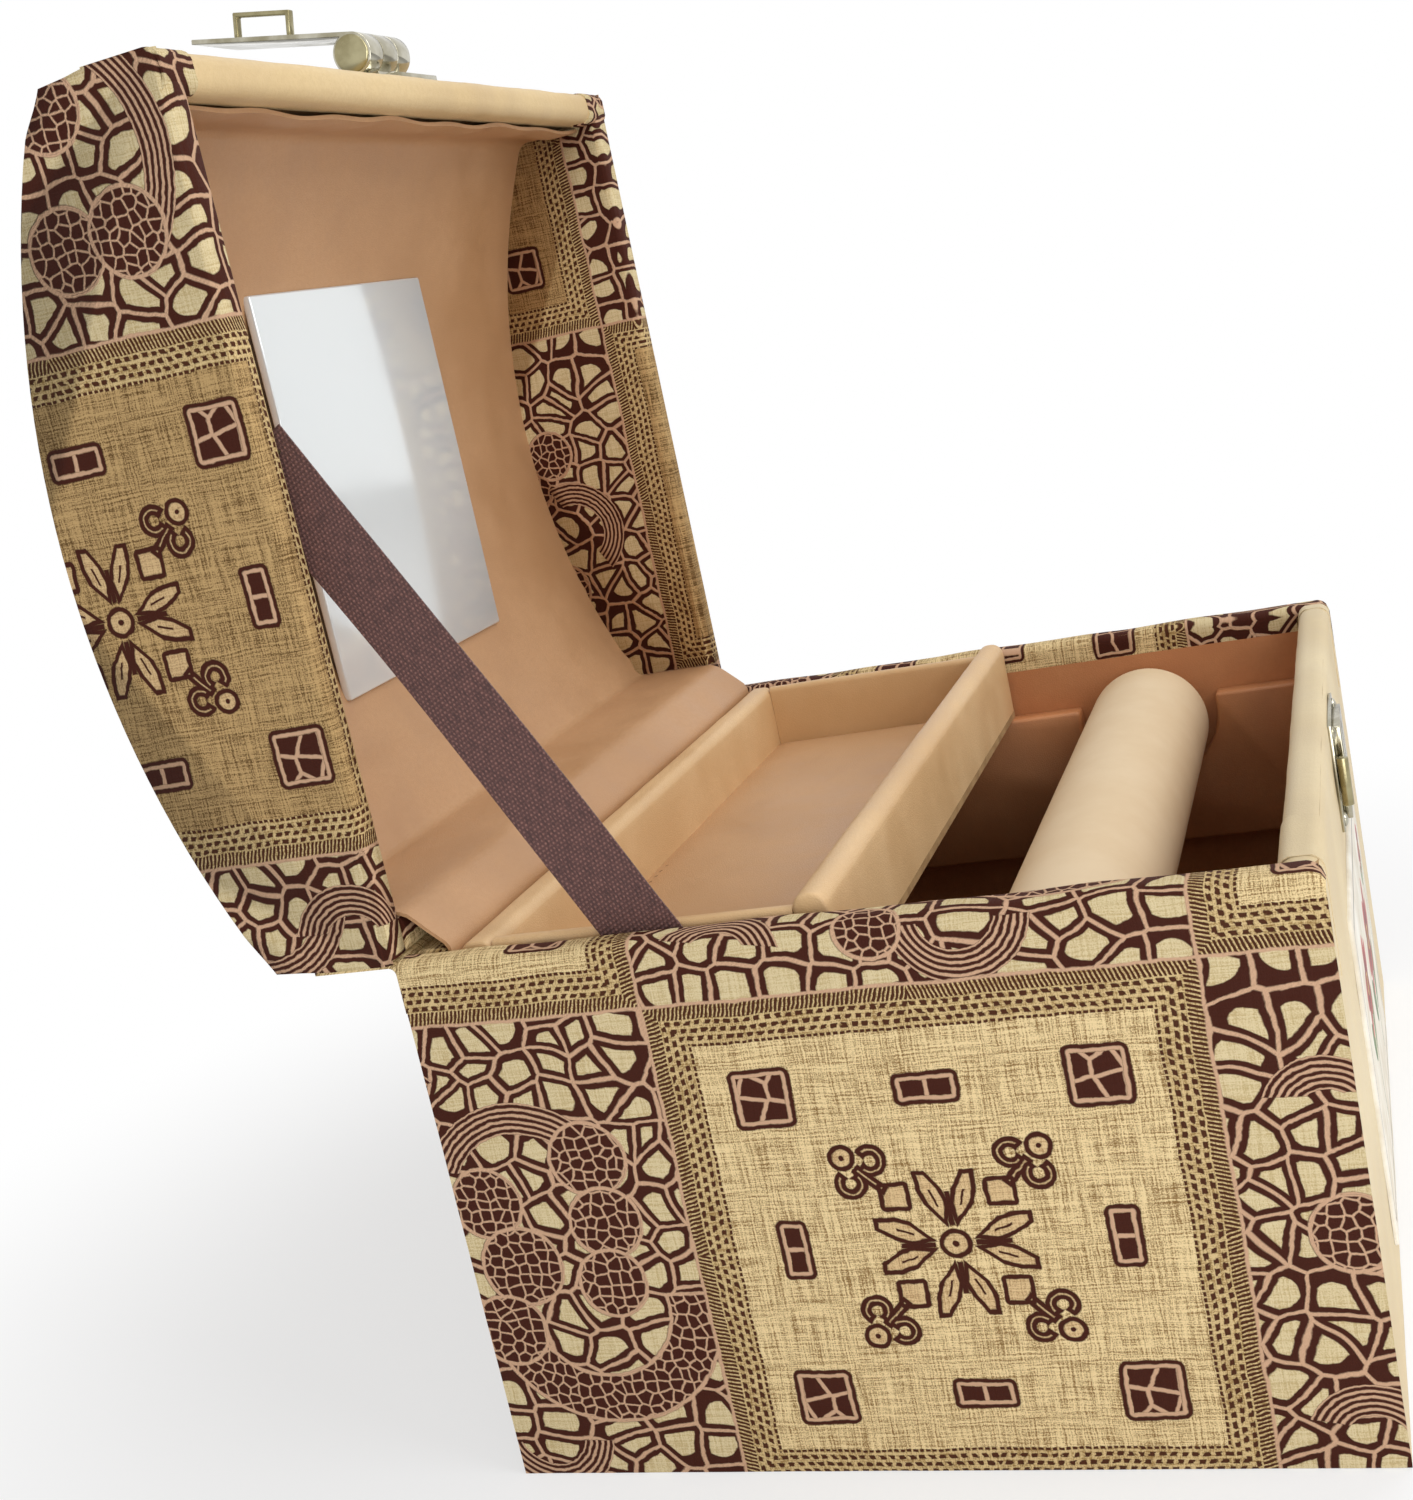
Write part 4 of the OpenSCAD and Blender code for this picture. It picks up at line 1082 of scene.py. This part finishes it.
# %% Front lining
LINING = 1.2
GLUED_HALF = 134.0
lining_low, lining_high = extent("base_front_lining")
steps = [lining_low.z + (lining_high.z - lining_low.z) * n / 14 for n in range(15)]
wall_path = [(lining_high.y, z) for z in steps]
front_lining = strip("front_lining", wall_path, "x", lining_high.x, lining_low.x)
divide(front_lining, x=48)


def loose_lining(x, y, z):
    """How far the lining stands off, by the height, by its waves and by how near its ends are."""
    down = lining_high.z - z
    swell = hill(down, 16.0, 17.0) * 2.6 + hill(down, 70.0, 60.0)
    wave = 0.6 + 0.4 * math.sin(x / 17.0) * math.sin(x / 7.3 + 1.0)
    ends = share_of((GLUED_HALF - abs(x)) / 12.0)
    return (0, swell * wave * ends, 0)


form(front_lining, loose_lining)
thicken(front_lining, LINING)
ripple(front_lining, 0.3, 12.0)
# the front lining takes the base's lining colour, with its painted shade
finish(front_lining, base_leather_painted_shade, "tan_lining", "base", "base_front_lining")

# %% [markdown]
# The brocade sides are folded over their rims in the same way, but their cloth runs on to the
# corners, where it is tucked round the front and the back. The strip gets extra cuts near its two
# upright edges, and its rim rounds down at the front corner as the front's does.

# %% Side covers of the base
CORNER_ROUND = 4.5
SIDE_ROUND = 3.4


def side_cover(name, node, side, cloth):
    """One side's cloth. The side is -1 for the left and 1 for the right."""
    low, high = extent(node)
    outer, inner = (low.x, high.x) if side < 0 else (high.x, low.x)
    path = rim_profile(outer, inner, low.z, high.z, high.z - FOLD_IN, SIDE_ROUND)
    start, end = (high.y, low.y) if side < 0 else (low.y, high.y)
    piece = strip(name, path, "y", start, end)
    divide(piece, y=60)
    cut_edges(piece, 4, lambda middle, way: abs(way.y) > 0.95 and abs(middle.y) > high.y - 4.0)
    divide(piece, z=14)

    def settle(x, y, z):
        """Soft rise and fall of the rim, which rounds down with the front's at the front corner."""
        near_rim = share_of((z - (high.z - 8.0)) / 8.0)
        ends = min(1.0, (high.y - abs(y)) / 12.0)
        wave = (math.sin(y / 9.0) * math.sin(y / 23.0 + 1.0) - 0.3) * 0.35 * ends
        into = min(CORNER_ROUND, max(0.0, low.y + CORNER_ROUND - y))
        fall = CORNER_ROUND - math.sqrt(CORNER_ROUND ** 2 - into ** 2)
        return (0, 0, (wave + 0.25 * (1 - ends) - fall) * near_rim)

    def in_corner(middle, way):
        """Inside the corners there is no fold, because the end walls are there."""
        folded_in = middle.z < high.z - 4.0 and abs(middle.x - inner) < 1.0
        return folded_in and abs(middle.y) > high.y - WALL

    def hold(x, y, z):
        """Keeps the cloth inside the box's own width and depth."""
        return (max(0.0, low.x - x) if side < 0 else min(0.0, high.x - x), max(0.0, low.y - y), 0)

    form(piece, settle)
    choose(piece, "FACE", in_corner)
    bpy.ops.mesh.delete(type="FACE")
    leave()
    thicken(piece, COVER)
    ripple(piece, 0.3, 16.0)
    form(piece, hold)
    return finish(piece, cloth, "brocade", "base", node)


side_cover("side_cover_left", "base_left_cover", -1, base_side_cloth)
side_cover("side_cover_right", "base_right_cover", 1, base_right_cloth)

# %% [markdown]
# The rest boards at both ends carry the tray and the roll. They are wrapped in the lining's
# leatherette, so their edges are soft and catch the light. Their shape is the CAD's, with rounds.

# %% Rests
# the rests take the base's lining colour, with its painted shade
for end in ("left", "right"):
    refined("roll_rest_" + end, 1.2, base_leather_painted_shade, "tan_lining", "base", "rest_" + end)

# %% [markdown]
# The tray's walls are padded and covered with one piece of leatherette, and so every edge is round.
# Each wall starts as a block. Its top edges are bevelled to a wide round and its ends to a small
# one, then it is divided and given the slight unevenness of its wadding.

# %% Tray walls
def tray_wall(name, top_round, end_round, long_axis):
    """One wall, from the CAD wall's block. The long axis is x or y."""
    low, high = extent(name + "_wall")
    piece = block(name, low, high)
    along = "xy".index(long_axis)

    def at_top(middle, way):
        return abs(way[along]) > 0.9 and middle.z > high.z - 0.01

    def at_end(middle, way):
        to_end = min(middle[along] - low[along], high[along] - middle[along])
        return to_end < 0.01 and middle.z > low.z + 1.0 and abs(way[along]) < 0.1

    round_edges(piece, top_round, 6, at_top)
    if end_round:
        round_edges(piece, end_round, 4, at_end)
    divide(piece, **{long_axis: 40}, z=3)
    ripple(piece, 0.35, 18.0)
    form(piece, lambda x, y, z: (0, 0, max(0.0, low.z - z)))
    return finish(piece, tray_leather, "cream_leatherette", "tray", name + "_wall", angle=50.0)


tray_wall("tray_front", 4.2, 1.2, "x")
tray_wall("tray_back", 3.6, 1.2, "x")
tray_wall("tray_left", 2.0, 0, "y")
tray_wall("tray_right", 2.0, 0, "y")

# %% [markdown]
# The tray's floor is a thin pad, high in its middle and pulled down where the walls hold it. A
# block divided both ways has enough vertices on top to lift each by its distance from the edge.

# %% Tray lining
PAD_RISE = 1.5
low, high = extent("tray_lining")
tray_pad = block("tray_pad", low, high)
divide(tray_pad, x=60, y=24)
middle_x, middle_y = (low.x + high.x) / 2, (low.y + high.y) / 2


def crown(x, y, z):
    """Lifts the top by its distance from the edge, with a slight wave."""
    if z < (low.z + high.z) / 2:
        return (0, 0, 0)
    edge = min((high.x - low.x) / 2 - abs(x - middle_x), (high.y - low.y) / 2 - abs(y - middle_y))
    rise = min(1.0, edge / 9.0)
    wave = 0.25 * math.sin(x / 19.0 + y / 31.0) * rise
    return (0, 0, PAD_RISE * (1 - (1 - rise) ** 2) + wave)


form(tray_pad, crown)
finish(tray_pad, tray_floor_leather, "tan_lining", "tray", "tray_lining")

# %% [markdown]
# The bangle roll is a card tube under velour, with a padded disc at each end. It is one smooth
# form: a cylinder along x, whose end rims are bevelled to a deep round, with a faint ripple of the
# padding.

# %% Bangle roll
low, high = extent("roll_cover")
roll_left = extent("roll_cap_left")[0].x
roll_right = extent("roll_cap_right")[1].x
roll_radius = (high.z - low.z) / 2
roll_length = roll_right - roll_left
roll_y, roll_z = (low.y + high.y) / 2, (low.z + high.z) / 2
END_ROUND = roll_right - high.x
roll = added("bangle_roll_sleeve", bpy.ops.mesh.primitive_cylinder_add, vertices=96,
             radius=roll_radius * MM, depth=roll_length * MM,
             location=(0, roll_y * MM, roll_z * MM), rotation=(0, math.pi / 2, 0))
bpy.ops.object.transform_apply(location=True, rotation=True, scale=True)
choose(roll, "FACE", lambda middle, way: abs(way.x) > 0.9)
bpy.ops.mesh.inset(thickness=(roll_radius - 2.0) * MM, depth=0)
leave()


def at_roll_end(middle, way):
    """The two round edges at the ends, and not the small rings inset in them."""
    outside = math.hypot(middle.y - roll_y, middle.z - roll_z) > roll_radius - 1.0
    return outside and abs(way.x) < 0.1 and roll_length / 2 - abs(middle.x) < 0.01


round_edges(roll, END_ROUND, 8, at_roll_end)
divide(roll, x=48)
ripple(roll, 0.2, 30.0)
finish(roll, velour, "velour", "bangle_roll", "roll_cover", "roll_cap_left", "roll_cap_right")

# %% [markdown]
# The lid's lining is one sheet of leatherette inside the front wall, the ceiling and the back wall.
# Its profile is a short straight piece, a round corner, the ceiling's own long arc, another corner
# and another straight piece. Soft creases are pressed into it near the hinge, where it was folded
# before the glue set, and its edge under the front rim stands off in waves.

# %% Lid lining
low, high = extent("lid_lining")
ceiling = high.y - LINING
half_high = (high.z - low.z) / 2 - LINING
lid_middle = (low.z + high.z) / 2
# the mirror's edges touch the ceiling, which gives the ceiling's radius
mirror_low, mirror_high = extent("mirror")
half_mirror = (mirror_high.z - mirror_low.z) / 2
rise = ceiling - mirror_high.y
ceiling_radius = (half_mirror ** 2 + rise ** 2) / (2 * rise)
ceiling_centre = ceiling - ceiling_radius
CORNER = 6.0
corner_turn = math.degrees(math.asin((half_high - CORNER) / (ceiling_radius - CORNER)))
corner_y = ceiling_centre + (ceiling_radius - CORNER) * math.cos(math.radians(corner_turn))
back_z, front_z = lid_middle - half_high, lid_middle + half_high
straight = [(low.y + (corner_y - low.y) * n / 8, back_z) for n in range(8)]
lining_path = straight + arc((corner_y, back_z + CORNER), CORNER, -90, -corner_turn, 5)
lining_path += arc((ceiling_centre, lid_middle), ceiling_radius, -corner_turn, corner_turn, 44)[1:]
lining_path += arc((corner_y, front_z - CORNER), CORNER, corner_turn, 90, 5)[1:]
lining_path += [(y, 2 * lid_middle - z) for y, z in reversed(straight)]
lid_lining = strip("lid_lining_sheet", lining_path, "x", high.x, low.x)
divide(lid_lining, x=64)


def crease(x, y, z):
    """Creases near the hinge, and waves where the lining ends under the front rim."""
    fold = droop = 0.0
    if y > corner_y - 2:
        fold = hill(z + x * 0.11, back_z + 24.0, 3.0) * 0.9
        fold += hill(z - x * 0.04, back_z + 33.0, 2.0) * 0.5
    if z > front_z - 1.0:
        wave = 0.55 + 0.45 * math.sin(x / 9.0) * math.sin(x / 23.0 + 2.0)
        droop = hill(y, low.y + 5.0, 13.0) * 2.6 * wave
    return (0, -fold, -droop)


form(lid_lining, crease)
thicken(lid_lining, LINING)
ripple(lid_lining, 0.5, 40.0)
finish(lid_lining, tan_leather, "tan_lining", "lid", "lid_lining")

# %% [markdown]
# The long corners where the dome meets the front and back walls aren't sharp in the real box: the
# padding gives way there. All the pieces at such a corner, boards and cloth alike, are pulled in
# together by the same smooth hill, so that they still fit each other.

# %% Soft corners of the lid
dome_low, dome_high = extent("lid_left_cover")
wall_top = extent("lid_front_cover")[1].y
PULL_REACH = 16.0
# the corner's height, which way is inwards and how deep it is pulled, at the front and the back
PULLS = ((dome_high.z, 1, 2.4), (dome_low.z, -1, 1.2))


def soft_corners(piece):
    """Rounds a lid piece where the dome meets the walls, mostly towards the lid's ends."""
    def from_corner(y, z, corner_z):
        return math.hypot(y - wall_top, z - corner_z)

    def near(middle, way):
        nearest = min(from_corner(middle.y, middle.z, corner_z) for corner_z, *_ in PULLS)
        return abs(way.x) < 0.1 and nearest < PULL_REACH + 1.0

    def pull(x, y, z):
        end = 0.25 + 0.75 * share_of((abs(x) - 60.0) / 60.0)
        moved = Vector((0, 0, 0))
        for corner_z, way, depth in PULLS:
            share = max(0.0, 1 - (from_corner(y, z, corner_z) / PULL_REACH) ** 2) ** 2
            moved += Vector((0, -0.52, -0.86 * way)) * depth * share * end
        return moved

    cut_edges(piece, 3, near)
    form(piece, pull)


for node, cloth in (("lid_left_cover", lid_left_cloth), ("lid_right_cover", lid_right_cloth),
                    ("lid_top_cover", back_cloth), ("lid_back_cover", back_cloth)):
    refined(node, 0, cloth, "brocade", "lid", shape=soft_corners)
for node in ("lid_top_panel", "lid_back_board", "lid_left_board", "lid_right_board"):
    refined(node, 0, board, "board", "lid", shape=soft_corners)

# the front boards get a round along their rim, so that they stay inside the rounded leatherette
BOARD_ROUND = 2.6
rim_of_lid = extent("lid_front_board")[0].y + 0.01
rim_of_base = extent("base_front_board")[1].z - 0.01


def soft_lid_board(piece):
    soft_corners(piece)
    round_edges(piece, BOARD_ROUND, 3, lambda at, way: abs(way.x) > 0.99 and at.y < rim_of_lid)


def soft_base_board(piece):
    round_edges(piece, BOARD_ROUND, 3, lambda at, way: abs(way.x) > 0.99 and at.z > rim_of_base)


refined("lid_front_board", 0, board, "board", "lid", shape=soft_lid_board)
refined("base_front_board", 0, board, "board", "base", shape=soft_base_board)

# %% [markdown]
# The lid's front wall has the same padded rim as the base, but on the open lid it points forward,
# so the path starts and ends in y. The ripple is stronger, as the leatherette is wrinkled there.

# %% Lid front cover
low, high = extent("lid_front_cover")
outer, inner, rim = high.z, low.z, low.y


def lid_rim_arcs(proud=0.0):
    """The two quarter rounds over the lid's front rim, so much outside the cover's own."""
    outer_arc = arc((rim + RIM_ROUND, outer - RIM_ROUND), RIM_ROUND + proud, 90, 180, 5)
    return outer_arc + arc((rim + RIM_ROUND, inner + RIM_ROUND), RIM_ROUND + proud, 180, 270, 5)


lid_path = [(high.y, outer), (rim + 16.0, outer)] + lid_rim_arcs()
lid_path += [(extent("lid_lining")[0].y + 1.5, inner)]
lid_front = strip("lid_front_rim", lid_path, "x", high.x, low.x)
divide(lid_front, x=60, y=4)
thicken(lid_front, COVER)
ripple(lid_front, 0.7, 15.0)
form(lid_front, lambda x, y, z: (0, 0, min(0.0, high.z - z)))
soft_corners(lid_front)
finish(lid_front, lid_leather, "cream_leatherette", "lid", "lid_front_cover")

# %% [markdown]
# At both ends of the lid's front rim the side's cloth is tucked round the corner. Each tuck is a
# narrow strip of brocade over the rim, a little proud of the leatherette, with a gathered edge.

# %% Corner tucks of the lid
TUCK_PROUD = 0.5
TUCK_FAR, TUCK_NEAR = 154.6, 144.6
GATHERED = 143.5


def corner_tuck(name, side, cloth, reach):
    """One tuck, on the left for side -1 and on the right for 1, which reaches so far inwards."""
    def gather(x, y, z):
        return (0.4 * math.sin(y * 0.5 + z * 0.4) if abs(x) < GATHERED else 0.0, 0, 0)

    path = [(rim + 22.0, outer + 0.1)] + lid_rim_arcs(TUCK_PROUD)
    path += [(rim + 8.0, inner - TUCK_PROUD)]
    left, right = sorted((side * TUCK_FAR, side * (TUCK_NEAR - reach)))
    piece = strip(name, path, "x", right, left)
    divide(piece, x=12)
    form(piece, gather)
    thicken(piece, 1.0)
    ripple(piece, 0.4, 7.0)
    form(piece, lambda x, y, z: (0, max(0.0, rim - 0.1 - y), 0))
    return finish(piece, cloth, "brocade", "lid")


corner_tuck("lid_corner_tuck_left", -1, lid_left_cloth, 5.0)
corner_tuck("lid_corner_tuck_right", 1, lid_right_cloth, 7.0)

# %% [markdown]
# Two strips of cloth carry the lid. The inner one is the lining's flap: it starts on the back wall,
# bridges the corner in a slack curve and ends on the lid. The outer one is brocade and is glued
# round the same corner outside.

# %% Hinge flap, inside
def path_length(path):
    return sum(math.dist(a, b) for a, b in zip(path, path[1:]))


FLAP = 1.0
low, high = extent("hinge_flap")
flap_face, flap_top = low.y, high.z
FLAP_HALF = 144.3
# up the back wall, straight across to the lid with a slight sag, then on along the lid's wall
FLAP_BRIDGE = ((0.2, 152.2), (1.2, 154.0), (2.9, 155.6), (4.8, 157.3), (6.7, 159.1), (8.6, 160.9),
               (10.4, 162.4), (12.4, 163.3))
flap_path = [(flap_face, low.z + 3.0 * n) for n in range(5)]
flap_path += [(flap_face + out, z) for out, z in FLAP_BRIDGE]
flap_path += [(flap_face + 14.6 + (high.y - flap_face - 14.6) * n / 5, flap_top) for n in range(6)]
flap_length = path_length(flap_path)
hinge_flap = strip("hinge_flap_cloth", flap_path, "x", -FLAP_HALF, FLAP_HALF)
divide(hinge_flap, x=60)
form(hinge_flap, lambda x, y, z: (0, 0, 0.4 * math.sin(x / 21.0) * hill(z, 157.5, 6.0)))
thicken(hinge_flap, FLAP)
finish(hinge_flap, tan_leather, "tan_lining", None, "hinge_flap")
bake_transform(hinge_flap)

# %% Hinge cloth, outside
low, high = extent("hinge_cloth")
OUT_ROUND = 2.0
strip_outer = extent("base_back_cover")[1].y + 1.0
strip_under = high.z - 1.0
bend_y, bend_z = strip_outer + OUT_ROUND, strip_under - OUT_ROUND
cloth_path = [(strip_outer, low.z + (bend_z - low.z) * n / 4) for n in range(5)]
cloth_path += arc((bend_y, bend_z), OUT_ROUND, 180, 90, 4)[1:]
cloth_path += [(bend_y + (high.y - bend_y) * n / 5, strip_under) for n in range(1, 6)]
cloth_length = path_length(cloth_path)
hinge_cloth = strip("hinge_outer_cloth", cloth_path, "x", low.x, high.x)
divide(hinge_cloth, x=60)
thicken(hinge_cloth, -0.9)
finish(hinge_cloth, back_cloth, "brocade", None, "hinge_cloth")
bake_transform(hinge_cloth)

# %% [markdown]
# The stay ribbon runs straight from the base to the lid and keeps the lid from falling back. It is
# a narrow sheet on edge: a plane between its two ends, thickened by half a millimetre. Between the
# two rims it is free, so it bows a little away from the wall and its edges curl slightly.

# %% Ribbon
low, high = extent("ribbon")
RIBBON_WIDTH = 20.0
RIBBON_THICK = 0.5
TAIL = 5.0
ribbon_side = Vector((0, -RIBBON_WAY.z, RIBBON_WAY.y))
ribbon_start = Vector((low.x, RIBBON_FROM.y, RIBBON_FROM.z)) - RIBBON_WAY * TAIL
ribbon_end = Vector((low.x, RIBBON_TO.y, RIBBON_TO.z)) + RIBBON_WAY * TAIL
ribbon_length = (ribbon_end - ribbon_start).length
half_side = ribbon_side * (RIBBON_WIDTH / 2)
ribbon = plane_between("stay_ribbon", [(place + edge) * MM for place in (ribbon_start, ribbon_end)
                                       for edge in (half_side, -half_side)])
cut_edges(ribbon, 60, lambda middle, way: abs(way.dot(RIBBON_WAY)) > 0.95)
cut_edges(ribbon, 9, lambda middle, way: abs(way.dot(ribbon_side)) > 0.95)
print("ribbon faces away from the wall:", ribbon.data.polygons[0].normal.x)


def bow(x, y, z):
    """How far the ribbon stands off the wall, by the share of the way along it and across it."""
    from_start = Vector((x, y, z)) - ribbon_start
    along = from_start.dot(RIBBON_WAY) / ribbon_length
    aside = from_start.dot(ribbon_side) / (RIBBON_WIDTH / 2)
    free = max(0.0, 1 - ((along - 0.5) / 0.36) ** 2)
    return (free * (1.3 + 0.5 * aside * math.sin(along * 7.0)) + 0.1 * free * aside * aside, 0, 0)


form(ribbon, bow)
thicken(ribbon, -RIBBON_THICK if ribbon.data.polygons[0].normal.x > 0 else RIBBON_THICK)
finish(ribbon, ribbon_cloth, "ribbon", None, "ribbon")
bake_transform(ribbon)

# %% [markdown]
# The rigid bright pieces keep their CAD shape, because they have to fit each other. What they lack
# is the small round that every pressed or cast edge has and that shows as a thin line of light. A
# copy of each mesh is merged, its flat faces are dissolved, and a Bevel modifier rounds its edges.

# %% Metal pieces and mirror
SHINY = {"nickel": nickel, "brass": brass, "mirror_glass": mirror_finish}
for node, edge_round, slot, body in (
        ("hasp_leaf", 0.35, "nickel", "lid"), ("hasp_screws", 0.35, "nickel", "lid"),
        ("lid_tacks", 0.25, "brass", "lid"), ("hasp_strap", 0.35, "nickel", "hasp"),
        ("hasp_staple", 0.4, "brass", "hasp"), ("hasp_pin", 0.5, "brass", "hasp"),
        ("lock_plate", 0.35, "nickel", "base"), ("lock_case", 0.35, "nickel", "base"),
        ("lock_screws", 0.35, "nickel", "base"), ("base_tacks", 0.25, "brass", "base"),
        ("lock_bolt", 0.3, "brass", "lock_bolt"), ("mirror", 0.7, "mirror_glass", "lid")):
    refined(node, edge_round, SHINY[slot], slot, body)

# %% [markdown]
# The printed panel is a thin card. Its four corners are rounded first and then the edge that faces
# forward, so that the second bevel also runs round the new corners.

# %% Printed panel
low, high = extent("picture_panel")
panel = block("printed_panel", low, high)
round_edges(panel, 2.0, 4, lambda middle, way: abs(way.y) > 0.9)
round_edges(panel, 0.8, 4, lambda middle, way: middle.y < low.y + 0.01)
finish(panel, picture_print, "picture", "base", "picture_panel")

# %% [markdown]
# What is left are CAD nodes whose shape is already right: most of the boards, the paper and felt,
# the back of the base and the linings of its other walls. They only get their finish, by the slot
# that the record names for each. The base's linings get a darker, redder copy of the tan lining,
# as painted shade for the inside of the base.

# %% Dress the CAD nodes
finishes = {
    "board": board, "brocade": back_cloth, "cream_leatherette": rim_leather,
    "tan_lining": tan_leather, "paper": paper_brown, "felt": felt, "velour": velour, "card": card,
    "picture": picture_print, "ribbon": ribbon_cloth, "pad": pad_card, **SHINY,
}
# linings that take the base's copy of the tan leatherette, with painted shade
SHADED_LININGS = ("base_back_lining", "base_left_lining", "base_right_lining")
slots = {part["node"]: part["material_slot"] for part in frame["record"]["subparts"]}
for name, node in nodes.items():
    node.data.materials.clear()
    node.data.materials.append(base_leather_painted_shade if name in SHADED_LININGS else finishes[slots[name]])
print("dressed", len(nodes), "CAD nodes")
